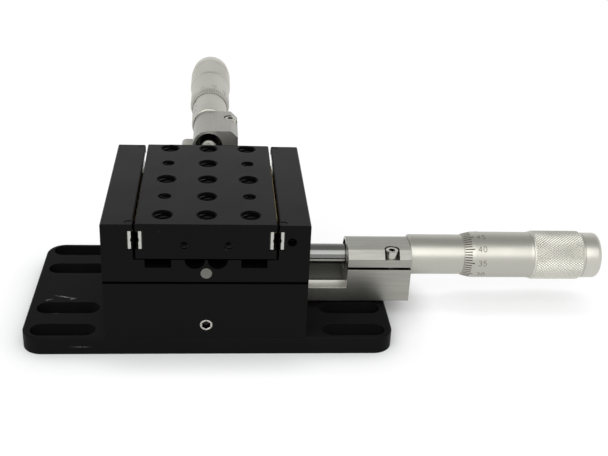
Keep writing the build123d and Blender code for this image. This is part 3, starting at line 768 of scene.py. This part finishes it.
micrometer = {
    "edge": thimbleBox[0][0], "back": thimbleBox[1][0], "capEnd": capBox[1][0],
    "skirtRadius": 7.5, "bevelLength": 3.3, "edgeThickness": 0.16,
    "boreRadius": halfHeight(sleeveBox) + 0.08, "wall": 4.7,
    "gripStart": thimbleBox[0][0] + 22.9, "gripRadius": halfHeight(thimbleBox),
    "collar": 0.16, "neck": 0.25,  # over and under the skirt, beside and below the grip
    "capRadius": halfHeight(capBox), "capRounding": 1.6,
    "barrelStart": stageBox("bracket")[1][0], "barrelEnd": sleeveBox[1][0],
    "barrelRadius": halfHeight(sleeveBox), "nutRadius": 4.5, "nutDepth": 8.0,
    "stemStart": sleeveBox[0][0], "stemRadius": 4.75,
    "spindleNose": spindleBox[0][0], "spindleRadius": halfHeight(spindleBox), "noseRounding": 0.85,
    "tailRadius": 2.0, "tailLength": 3.2,
}
knurl = {
    "diamondsRound": 58, "diamondsAlong": 15, "depth": 0.25, "samplesRound": 8, "samplesAlong": 8,
    "land": 0.2,  # the part of each wave that stays at the full radius
    "endDepth": 0.42, "runOut": 0.035, "startGap": 0.15, "endGap": 0.65, "inside": 0.4,
}


def buildKnurl(stageName):
    # the radius falls into two crossed sets of V grooves, one winding each way: at every point it is
    # the grip's radius less the groove depth times the deeper of two triangle waves, and it sinks
    # to the foot of the grip at both ends
    m, k = micrometer, knurl
    start, end = m["gripStart"] + k["startGap"], m["back"] - k["endGap"]
    along = np.linspace(0, 1, k["diamondsAlong"] * k["samplesAlong"])[:, None]
    columns = k["diamondsRound"] * k["samplesRound"]
    angle = (np.arange(columns) * 2 * np.pi / columns)[None, :]
    turns = k["diamondsRound"] * angle / (2 * np.pi)
    waves = [np.abs(((turns + sign * k["diamondsAlong"] * along) % 1.0) * 2 - 1) for sign in (1, -1)]
    groove = np.clip((np.maximum(*waves) - k["land"]) / (1 - k["land"]), 0, 1)
    fade = np.clip(np.minimum(along, 1 - along) / k["runOut"], 0, 1)
    radius = m["gripRadius"] - k["endDepth"] + (k["endDepth"] - k["depth"] * groove) * fade
    outside = ringAt(start + (end - start) * along, radius, angle)
    closing = [ringAt(at, m["skirtRadius"] - k["inside"], angle) for at in (end, start)]
    grid = toWorld(np.concatenate([outside] + closing), stageName)
    return makePiece(stageName + "_grip", [(grid, True, True)], smoothAngle=28)


def thimbleProfile():
    # the outside from the bevelled edge back to the cap, and then the stepped bore
    m = micrometer
    collar, neck = m["skirtRadius"] + m["collar"], m["skirtRadius"] - m["neck"]
    middle, front = m["back"] - m["wall"] / 2, m["back"] - m["wall"]
    return roundCorners([
        (m["edge"], m["boreRadius"], 0.02),
        (m["edge"], m["boreRadius"] + m["edgeThickness"], 0.05),
        (m["edge"] + m["bevelLength"], m["skirtRadius"], 0.35),
        (m["gripStart"] - 0.9, m["skirtRadius"], 0.05),
        (m["gripStart"] - 0.35, collar, 0.08),
        (m["gripStart"] + 0.1, collar, 0.08),
        (m["gripStart"] + 0.3, neck, 0.05),
        (m["back"] - 0.95, neck, 0.05),
        (m["back"] - 0.85, m["capRadius"], 0.05),
        (m["back"], m["capRadius"], 0.05),
        (m["back"], m["tailRadius"], 0.0),
        (middle, m["tailRadius"], 0.0),
        (middle, m["spindleRadius"], 0.0),
        (front, m["spindleRadius"], 0.0),
        (front, m["boreRadius"], 0.1),
    ])


def capProfile():
    # a round-edged disc whose hollow takes the end of the spindle's tail
    m = micrometer
    start, bottom = m["back"] + 0.02, m["back"] + m["tailLength"] + 0.1
    return roundCorners([
        (start, m["tailRadius"], 0.0), (start, m["capRadius"], 0.06),
        (m["capEnd"], m["capRadius"], m["capRounding"]), (m["capEnd"], 0.0, 0.0),
        (bottom, 0.0, 0.0), (bottom, m["tailRadius"], 0.0),
    ], steps=8)


def sleeveProfile():
    # the thin stem, the step up to the barrel, and a bore with a wider end for the thread nut
    m = micrometer
    inner, step, nutStart = m["spindleRadius"] + 0.05, m["barrelStart"] - 0.02, m["barrelEnd"] - m["nutDepth"]
    return roundCorners([
        (m["stemStart"], inner, 0.1), (m["stemStart"], m["stemRadius"], 0.25),
        (step, m["stemRadius"], 0.05), (step, m["barrelRadius"] - 0.5, 0.05),
        (m["barrelStart"] + 0.4, m["barrelRadius"], 0.15), (m["barrelEnd"], m["barrelRadius"], 0.15),
        (m["barrelEnd"], m["nutRadius"], 0.0), (nutStart, m["nutRadius"], 0.0), (nutStart, inner, 0.0),
    ])


def spindleProfile():
    # a rod with a rounded nose and a thinner tail in the back of the thimble
    m = micrometer
    shoulder, end = m["back"] - m["wall"] / 2, m["back"] + m["tailLength"]
    return roundCorners([
        (m["spindleNose"], 0.0, 0.0), (m["spindleNose"], m["spindleRadius"], m["noseRounding"]),
        (shoulder, m["spindleRadius"], 0.1), (shoulder, m["tailRadius"], 0.0),
        (end, m["tailRadius"], 0.2), (end, 0.0, 0.0),
    ], steps=5)


# Graduations. Angles are counted up from the front of a stage, in degrees.
scaleMarks = {
    "divisions": 50, "numberEvery": 5,
    "knownNumber": 40, "knownAngle": 40.5,   # where one of the thimble's numbers stands at mid travel
    "tickWidth": 0.38, "shortTick": (0.12, 2.4), "longTick": (0.12, 3.2),
    "digitHeight": 1.8, "digitWidth": 1.12, "digitGap": 0.46, "stroke": 0.23, "numberStart": 4.4,
    "proud": 0.014, "sunk": 0.05,
    "barrelAngle": 180.5, "barrelReading": 12.6, "barrelLength": 25.0, "barrelTick": 1.7,
    "barrelLine": 0.16, "barrelStroke": 0.14, "numberedTick": 1.35, "numberDrop": 1.3,
}


def arcPath(centre, radii, fromAngle, toAngle, count=15):
    # points on an ellipse between two angles in degrees
    a = np.radians(np.linspace(fromAngle, toAngle, count))
    return np.stack([centre[0] + radii[0] * np.cos(a), centre[1] + radii[1] * np.sin(a)], -1)


def digitStrokes(digit):
    # single-line figures in a box one unit wide and one unit high
    strokes = {
        "0": [arcPath((0.5, 0.5), (0.46, 0.5), 90, 450, 25)],
        "1": [np.array([(0.22, 0.8), (0.55, 1.0), (0.55, 0.0)])],
        "2": [np.concatenate([arcPath((0.5, 0.7), (0.42, 0.3), 165, -35), [(0.06, 0.0), (0.95, 0.0)]])],
        "3": [np.concatenate([arcPath((0.47, 0.76), (0.38, 0.24), 150, -80),
                              arcPath((0.47, 0.26), (0.44, 0.26), 80, -150)])],
        "4": [np.array([(0.92, 0.3), (0.02, 0.3), (0.7, 1.0), (0.7, 0.0)])],
        "5": [np.concatenate([[(0.86, 1.0), (0.2, 1.0), (0.12, 0.54)],
                              arcPath((0.47, 0.33), (0.44, 0.33), 125, -150)])],
    }
    return strokes[digit]


def finePath(path, step=0.12):
    # the path with points no further apart than one step
    made = [path[:1]]
    for a, b in zip(path[:-1], path[1:]):
        count = max(1, int(np.ceil(np.linalg.norm(b - a) / step)))
        made.append(a + (b - a) * (np.arange(1, count + 1) / count)[:, None])
    return np.concatenate(made)


def ribbonGrid(path, width, surfaceRadius, angle, stageName, baseRadius):
    # a flat closed strip carried along a path of (x, arc length): its four corners lie half a width
    # to each side, a little above and below the turned surface
    path = finePath(np.array(path, float))
    ahead = np.gradient(path, axis=0)
    ahead /= np.linalg.norm(ahead, axis=-1, keepdims=True)
    side = np.stack([-ahead[:, 1], ahead[:, 0]], -1) * width / 2
    corners = [(path + side, -scaleMarks["sunk"]), (path + side, scaleMarks["proud"]),
               (path - side, scaleMarks["proud"]), (path - side, -scaleMarks["sunk"])]
    ring = []
    for flat, height in corners:
        radius = surfaceRadius(flat[:, 0]) + height
        turn = np.radians(angle) + flat[:, 1] / baseRadius
        ring.append(ringAt(flat[:, 0], radius, turn))
    points = np.stack(ring, 1)
    ends = [np.repeat(points[at:at + 1].mean(1, keepdims=True), 4, 1) for at in (0, -1)]
    return toWorld(np.concatenate([ends[0], points, ends[1]]), stageName), False, True


def numberGrids(number, start, angle, surfaceRadius, stageName, baseRadius):
    # the figures of a number stand side by side along x and are centred on the angle
    grids, v = [], scaleMarks
    for place, digit in enumerate(str(number)):
        left = start + place * (v["digitWidth"] + v["digitGap"])
        for stroke in digitStrokes(digit):
            x, height = left + stroke[:, 0] * v["digitWidth"], (stroke[:, 1] - 0.5) * v["digitHeight"]
            path = np.stack([x, height], -1)
            grids.append(ribbonGrid(path, v["stroke"], surfaceRadius, angle, stageName, baseRadius))
    return grids


def thimbleSurface(x):
    # the radius grows evenly along the bevel, from its edge to the skirt
    m = micrometer
    lip = m["boreRadius"] + m["edgeThickness"]
    return np.interp(x, [m["edge"], m["edge"] + m["bevelLength"]], [lip, m["skirtRadius"]])


def barrelSurface(x):
    return np.full(np.shape(x), micrometer["barrelRadius"])


def buildThimbleMarks(stageName):
    # a mark for every division round the bevel, with a longer one and a number at every fifth
    v, m = scaleMarks, micrometer
    grids, numberStart = [], m["edge"] + v["numberStart"]
    for division in range(v["divisions"]):
        angle = v["knownAngle"] + (division - v["knownNumber"]) * 360 / v["divisions"]
        numbered = division % v["numberEvery"] == 0
        path = [(m["edge"] + reach, 0) for reach in (v["longTick"] if numbered else v["shortTick"])]
        grids.append(ribbonGrid(path, v["tickWidth"], thimbleSurface, angle, stageName, m["skirtRadius"]))
        if numbered:
            grids += numberGrids(division, numberStart, angle, thimbleSurface, stageName, m["skirtRadius"])
    return makePiece(stageName + "_thimbleScale", grids)


def buildBarrelMarks(stageName):
    # a line along the barrel with a mark every millimetre above it and every half between below it
    v, m = scaleMarks, micrometer
    radius, zero, angle = m["barrelRadius"], m["edge"] - v["barrelReading"], v["barrelAngle"]
    line = [(zero, 0), (zero + v["barrelLength"], 0)]
    grids = [ribbonGrid(line, v["barrelLine"], barrelSurface, angle, stageName, radius)]
    for half in range(int(v["barrelLength"] * 2) + 1):
        x, numbered = zero + half / 2, half % 10 == 0
        reach = v["barrelTick"] * (v["numberedTick"] if numbered else 1.0)
        path = [(x, 0), (x, -reach if half % 2 == 0 else reach)]
        grids.append(ribbonGrid(path, v["barrelStroke"], barrelSurface, angle, stageName, radius))
        if numbered:
            number = half // 2
            left = x - (len(str(number)) * (v["digitWidth"] + v["digitGap"]) - v["digitGap"]) / 2
            below = angle - np.degrees((reach + v["numberDrop"]) / radius)
            grids += numberGrids(number, left, below, barrelSurface, stageName, radius)
    return makePiece(stageName + "_barrelScale", grids)


thimbleFills = {"lower": ("engravingFill", "figureFill"), "upper": ("fadedFill", "fadedFill")}
for stageName, stage in stages.items():
    screw, fixed = stage["screw"], stage["fixed"]
    for name, profile, finish, slotName, body, node in (
            ("thimbleShell", thimbleProfile(), "satinChrome", "satin_chrome", screw, "_thimble"),
            ("cap", capProfile(), "capChrome", "satin_chrome", screw, "_thimble_cap"),
            ("barrel", sleeveProfile(), "satinChrome", "satin_chrome", fixed, "_micrometer_sleeve"),
            ("screwSpindle", spindleProfile(), "spindleSteel", "spindle_steel", screw, "_spindle")):
        piece = makePiece(stageName + "_" + name, [(sweptTurn(profile, stageName), True, True)])
        dress(piece, finishes[finish], body, slotName, stageName + node)
    dress(buildKnurl(stageName), finishes["knurledChrome"], screw, "satin_chrome")
    # the figures are paler than the marks beside them, and the upper thimble's fill is paler all over
    markFill, figureFill = thimbleFills[stageName]
    marks = dress(buildThimbleMarks(stageName), finishes[markFill], screw, "satin_chrome")
    figures = faceCentres(marks, stageName)[:, 0] > micrometer["edge"] + scaleMarks["numberStart"] - 0.3
    paintFaces(marks, finishes[figureFill], figures, 1)
    dress(buildBarrelMarks(stageName), finishes["engravingFill"], fixed, "satin_chrome")
print("micrometer heads made")

# Screws with a hexagon socket: which way the head points, and the sizes. A set screw has no head.
screwSizes = {
    "clamp_screw": {"points": "up", "finish": "screwSteel", "headRadius": 2.0, "headHeight": 2.5, "key": 1.9,
                    "shank": 1.4, "length": 11.0, "socket": 1.4},
    "side_set_screw": {"points": "front", "finish": "screwSteel", "headHeight": 0.0, "key": 2.4,
                       "shank": 2.0, "length": 6.0, "socket": 2.4},
    "preload_screw": {"points": "left", "finish": "blackSteel", "headHeight": 0.0, "key": 1.3,
                      "shank": 1.35, "length": 5.0, "socket": 1.8},
}
screwEdges = {"tip": 0.3, "under": 0.08, "rim": 0.22, "socketRim": 0.12, "socketFoot": 0.08,
              "drillPoint": 0.35}


def socketScrew(size, segments=72):
    # rings of points whose radius depends on the angle: round outside, and in the socket a hexagon's
    # radius, half the key width over the cosine of the angle to the nearest side's middle
    e, top, bottom, shank = screwEdges, size["headHeight"], -size["length"], size["shank"]
    angle = np.arange(segments) * 2 * np.pi / segments
    hexagon = size["key"] / 2 / np.cos((angle + np.pi / 6) % (np.pi / 3) - np.pi / 6)
    head = size["headRadius"] if top else shank
    floor = top - size["socket"]
    rings = [(0, bottom), (shank - e["tip"], bottom), (shank, bottom + e["tip"])]
    if top:
        rings += [(shank, 0.0), (head - e["under"], 0.0), (head, e["under"])]
    rings += [(head, top - e["rim"]), (head - e["rim"] * 0.3, top - e["rim"] * 0.3), (head - e["rim"], top),
              (hexagon + e["socketRim"], top), (hexagon, top - 0.1), (hexagon, floor),
              (hexagon * 0.9, floor - e["socketFoot"]), (0, floor - e["drillPoint"])]
    radius = np.stack([ring[0] + 0 * angle for ring in rings])
    height = np.array([ring[1] for ring in rings])[:, None] + 0 * angle
    return np.stack([radius * np.cos(angle), radius * np.sin(angle), height], -1)


def screwSeat(part):
    # the middle of the face that the screw's head stands on, in the stage's own frame
    low, high = stageBox(part)
    x, y, z = (low + high) / 2
    top = high[2] - screwSizes[part]["headHeight"]
    seats = {"up": (x, y, top), "front": (x, low[1], z), "left": (low[0], y, z)}
    return np.array(seats[screwSizes[part]["points"]])


def placeScrew(stageName, part):
    # turns a screw drawn along +Z so that its head points in its direction
    size, nodeName, seat = screwSizes[part], stageName + "_" + part, screwSeat(part)
    u, v, w = np.moveaxis(socketScrew(size), -1, 0)
    turned = {"up": (u, v, w), "front": (u, -w, v), "left": (-w, u, v)}[size["points"]]
    grid = toWorld(np.stack(turned, -1) + seat, stageName)
    piece = makePiece(stageName + "_" + part.replace("_", "") + "Fine", [(grid, False, True)], smoothAngle=25)
    body = frame["nodes"][nodeName]["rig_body"]
    dress(piece, finishes[size["finish"], stageName], body, "screw_steel", nodeName)
    # the socket takes painted shade inside
    x, y, z = (faceCentres(piece, stageName) - seat).T
    out, a, b = {"up": (z, x, y), "front": (-y, x, z), "left": (-x, y, z)}[size["points"]]
    inside = (np.hypot(a, b) < size["key"] * 0.6) & (out < size["headHeight"] - 0.12)
    inside &= out > -size["length"] / 2
    paintFaces(piece, finishes["blackSteel", stageName], inside, 1)


for stageName in stages:
    for part in screwSizes:
        placeScrew(stageName, part)


# Threads in the tapped holes that can be seen
def threadGrid(size, centre, stageName, alongX=False):
    # a ridge with a V section wound down a hole: the angle grows with the depth, a turn for each
    # pitch, and the section shrinks to a point at both ends
    v, pitch = threads, size["pitch"]
    turns = (size["depth"] - pitch) / pitch
    t = np.linspace(0, turns, int(turns * v["samples"]) + 1)
    fade = np.clip(np.minimum(t, turns - t) / v["runIn"], 0, 1)
    foot, crest = v["footShare"] * pitch, v["crestShare"] * pitch
    ring = []
    section = [(v["sunk"], -foot), (-size["crest"], -crest), (-size["crest"], crest), (v["sunk"], foot)]
    for inward, shift in section:
        radius = size["radius"] + v["sunk"] + (inward - v["sunk"]) * fade
        depth = v["mouth"] + pitch / 2 + pitch * t + shift * fade
        ring.append(np.stack([radius * np.cos(2 * np.pi * t), radius * np.sin(2 * np.pi * t), -depth], -1))
    points = np.stack(ring, 1)
    if alongX:
        points = np.stack([-points[..., 2], points[..., 0], points[..., 1]], -1)
    return toWorld(points + np.array(centre, float), stageName), False, True


def buildThreads(stageName):
    # five by three holes in the top, small ones beside the middle in every other row, and two end taps
    v, grids = threads, []
    for row in range(5):
        x = v["gridOffset"] + (row - 2) * v["gridPitch"]
        for column in (-1, 0, 1):
            size = v["largeHoles"] if column == 0 or row % 2 == 0 else v["smallHoles"]
            grids.append(threadGrid(size, (x, column * v["gridPitch"], v["top"]), stageName))
    for side in (-0.5, 0.5):
        centre = (bodyBox[0][0], side * v["gridPitch"], v["endLevel"])
        grids.append(threadGrid(v["endHoles"], centre, stageName, alongX=True))
    return makePiece(stageName + "_holeThreads", grids, smoothAngle=60)


threadPiece = dress(buildThreads("upper"), finishes["anodised"], "upper_stage", "anodised")
# the threads near the top and those of the end taps take the painted glint, and the deeper ones stay dark
depth = threads["top"] - faceCentres(threadPiece, "upper")[:, 2]
lit = (depth < threads["litDepth"]) | (depth > threads["endTapsDepth"])
paintFaces(threadPiece, finishes["cutAnodised"], lit, 1)
print("screws and threads made")

# Extension springs between the carriage's pin and the body's pin
spring = {
    "coils": 14, "wire": 0.24, "radius": 1.25, "reach": 14.0, "endGap": 1.9, "eye": 1.2,
    "offset": 3.3, "level": 6.15,  # where the two springs of a stage lie beside each other
    "blendReach": 12.6,  # not used: between these places the coils were to stretch, and the eyes beyond to stay whole
}


def springPath(samples=22):
    # a helix along x, with an eye of one turn about each pin and a short eased line between the two
    s = spring
    half, t = s["reach"] - s["endGap"], np.linspace(0, 1, s["coils"] * samples)
    turns = 2 * np.pi * s["coils"] * t
    coil = np.stack([-half + 2 * half * t, s["radius"] * np.cos(turns), s["radius"] * np.sin(turns)], -1)

    def eye(sign, start):
        a = start + 2 * np.pi * np.linspace(0, 1, samples)[:, None]
        return np.concatenate([sign * s["reach"] + s["eye"] * np.cos(a), s["eye"] * np.sin(a), 0 * a], 1)

    def join(a, b, count=6):
        k = (np.arange(1, count) / count)[:, None]
        return a + (b - a) * (k * k * (3 - 2 * k))

    left, right = eye(-1, 0), eye(1, np.pi)
    return np.concatenate([left, join(left[-1], coil[0]), coil, join(coil[-1], right[0]), right])


def springGrid(side, stageName, around=8):
    # a wire of round section carried along the path
    s, path = spring, springPath()
    ahead = np.gradient(path, axis=0)
    ahead /= np.linalg.norm(ahead, axis=-1, keepdims=True)
    first = np.cross(ahead, (0.0, 0.0, 1.0))
    first /= np.maximum(np.linalg.norm(first, axis=-1, keepdims=True), 1e-9)
    second = np.cross(ahead, first)
    a = (np.arange(around) * 2 * np.pi / around)[:, None]
    points = path[:, None] + s["wire"] * (first[:, None] * np.cos(a) + second[:, None] * np.sin(a))
    ends = [np.repeat(points[at:at + 1].mean(1, keepdims=True), around, 1) for at in (0, -1)]
    points = np.concatenate([ends[0], points, ends[1]]) + np.array([0, side * s["offset"], s["level"]])
    return toWorld(points, stageName), False, True


for stageName, stage in stages.items():
    grids = [springGrid(side, stageName) for side in (-1, 1)]
    piece = makePiece(stageName + "_coilSprings", grids, smoothAngle=60)
    piece.data.materials.append(finishes["springSteel", stageName])
    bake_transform(piece)
    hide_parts(stageName + "_springs")
print("springs made")

# Floor, light and camera
studio = {
    "floorSize": 5.0, "floorColour": (0.88, 0.89, 0.89), "floorGlow": 0.76, "floorWhite": 1.09,
    "shadeReach": 0.0135, "shadePower": 4.2, "worldFill": 0.9, "skyTop": 0.5, "skyFrom": 0.45, "skyTo": 0.9,
    "lampPlace": (-0.18, -1.10, 1.05), "lampSize": (1.9, 1.35), "lampPower": 15.5,
}


def seenWhite(nodes, links):
    # 1 for what the camera sees of the floor or the backdrop, directly, in a reflection or through glass
    path = nodes.new("ShaderNodeLightPath")
    seen = mathNode(nodes, links, "MAXIMUM", path.outputs["Is Camera Ray"], path.outputs["Is Glossy Ray"])
    return mathNode(nodes, links, "MAXIMUM", seen, path.outputs["Is Transmission Ray"])


def turnTo(obj, side, up, away, place):
    # the object's x, y and z axes in the shared frame, and its place
    obj.matrix_world = Matrix(np.column_stack([side, up, away]).tolist()).to_4x4()
    obj.location = place


def buildFloor():
    # a flat grid of squares under the object
    side = np.linspace(-studio["floorSize"] / 2, studio["floorSize"] / 2, 9)
    x, y = np.meshgrid(side, side, indexing="ij")
    floor = makePiece("floor", [(np.stack([x, y, 0 * x], -1), False, False)])
    material = bpy.data.materials.new("paleFloor")
    material.use_nodes = True
    nodes, links = material.node_tree.nodes, material.node_tree.links
    nodes.clear()
    matte = nodes.new("ShaderNodeBsdfDiffuse")
    matte.inputs["Color"].default_value = (*studio["floorColour"], 1)
    glow = nodes.new("ShaderNodeEmission")
    glow.inputs["Strength"].default_value = studio["floorWhite"]
    # near the object the floor sees less of the sky, so an ambient-occlusion mask lays less white over its
    # shadow: a painted shadow
    nearness = nodes.new("ShaderNodeAmbientOcclusion")
    nearness.samples = 16
    nearness.inputs["Distance"].default_value = studio["shadeReach"]
    openness = mathNode(nodes, links, "POWER", nearness.outputs["AO"], studio["shadePower"])
    share = mathNode(nodes, links, "MULTIPLY", seenWhite(nodes, links), openness)
    share = mathNode(nodes, links, "MULTIPLY", share, studio["floorGlow"])
    mix = nodes.new("ShaderNodeMixShader")
    out = nodes.new("ShaderNodeOutputMaterial")
    links.new(share, mix.inputs[0])
    links.new(matte.outputs[0], mix.inputs[1])
    links.new(glow.outputs[0], mix.inputs[2])
    links.new(mix.outputs[0], out.inputs[0])
    floor.data.materials.append(material)


def buildWorld():
    world = bpy.data.worlds.new("studioWorld")
    scene.world = world
    world.use_nodes = True
    nodes, links = world.node_tree.nodes, world.node_tree.links
    background = nodes["Background"]
    background.inputs["Color"].default_value = (1, 1, 1, 1)
    seen, fill = seenWhite(nodes, links), studio["worldFill"]
    strength = mathNode(nodes, links, "MULTIPLY_ADD", seen, 1.0 - fill, fill)
    # the backdrop's white fades to a greyer ceiling
    place = nodes.new("ShaderNodeTexCoord")
    parts = nodes.new("ShaderNodeSeparateXYZ")
    links.new(place.outputs["Generated"], parts.inputs[0])
    fade = nodes.new("ShaderNodeMapRange")
    fade.interpolation_type = "SMOOTHSTEP"
    for label, value in (("From Min", studio["skyFrom"]), ("From Max", studio["skyTo"]), ("To Min", 1.0),
                         ("To Max", studio["skyTop"])):
        fade.inputs[label].default_value = value
    links.new(parts.outputs["Z"], fade.inputs["Value"])
    strength = mathNode(nodes, links, "MULTIPLY", strength, fade.outputs["Result"])
    links.new(strength, background.inputs["Strength"])


def buildLamp():
    # a soft box in front, turned towards the origin
    lamp = bpy.data.lights.new("frontBox", "AREA")
    lamp.shape = "RECTANGLE"
    lamp.size, lamp.size_y = studio["lampSize"]
    lamp.energy = studio["lampPower"]
    obj = bpy.data.objects.new("frontBox", lamp)
    scene.collection.objects.link(obj)
    away = np.array(studio["lampPlace"]) / np.linalg.norm(studio["lampPlace"])
    side = np.cross((0, 0, 1.0), away)
    side /= np.linalg.norm(side)
    turnTo(obj, side, np.cross(away, side), away, studio["lampPlace"])


cameraValues = {"place": (0.0026412, -0.2817738, 0.1690938), "yaw": 5.7067, "pitch": 26.503, "roll": 3.0018,
                "focal": 58.466, "sensor": 36.0}


def buildCamera():
    # yaw turns the view to the right of +Y, pitch turns it down, and roll turns the picture
    v = cameraValues
    yaw, pitch, roll = (math.radians(v[name]) for name in ("yaw", "pitch", "roll"))
    level = np.array([math.sin(yaw), math.cos(yaw), 0.0])
    ahead = level * math.cos(pitch) - np.array([0.0, 0.0, math.sin(pitch)])
    right = np.array([math.cos(yaw), -math.sin(yaw), 0.0])
    up = np.cross(right, ahead)
    camera = bpy.data.cameras.new("camera")
    camera.sensor_width = v["sensor"]
    camera.sensor_fit = "HORIZONTAL"
    camera.lens = v["focal"]
    camera.clip_start, camera.clip_end = 0.01, 20.0
    obj = bpy.data.objects.new("camera", camera)
    scene.collection.objects.link(obj)
    rolledRight = math.cos(roll) * right + math.sin(roll) * up
    rolledUp = math.cos(roll) * up - math.sin(roll) * right
    turnTo(obj, rolledRight, rolledUp, -ahead, v["place"])
    scene.camera = obj


buildFloor()
buildWorld()
buildLamp()
buildCamera()
scene.view_settings.view_transform = "Standard"
print("studio made")
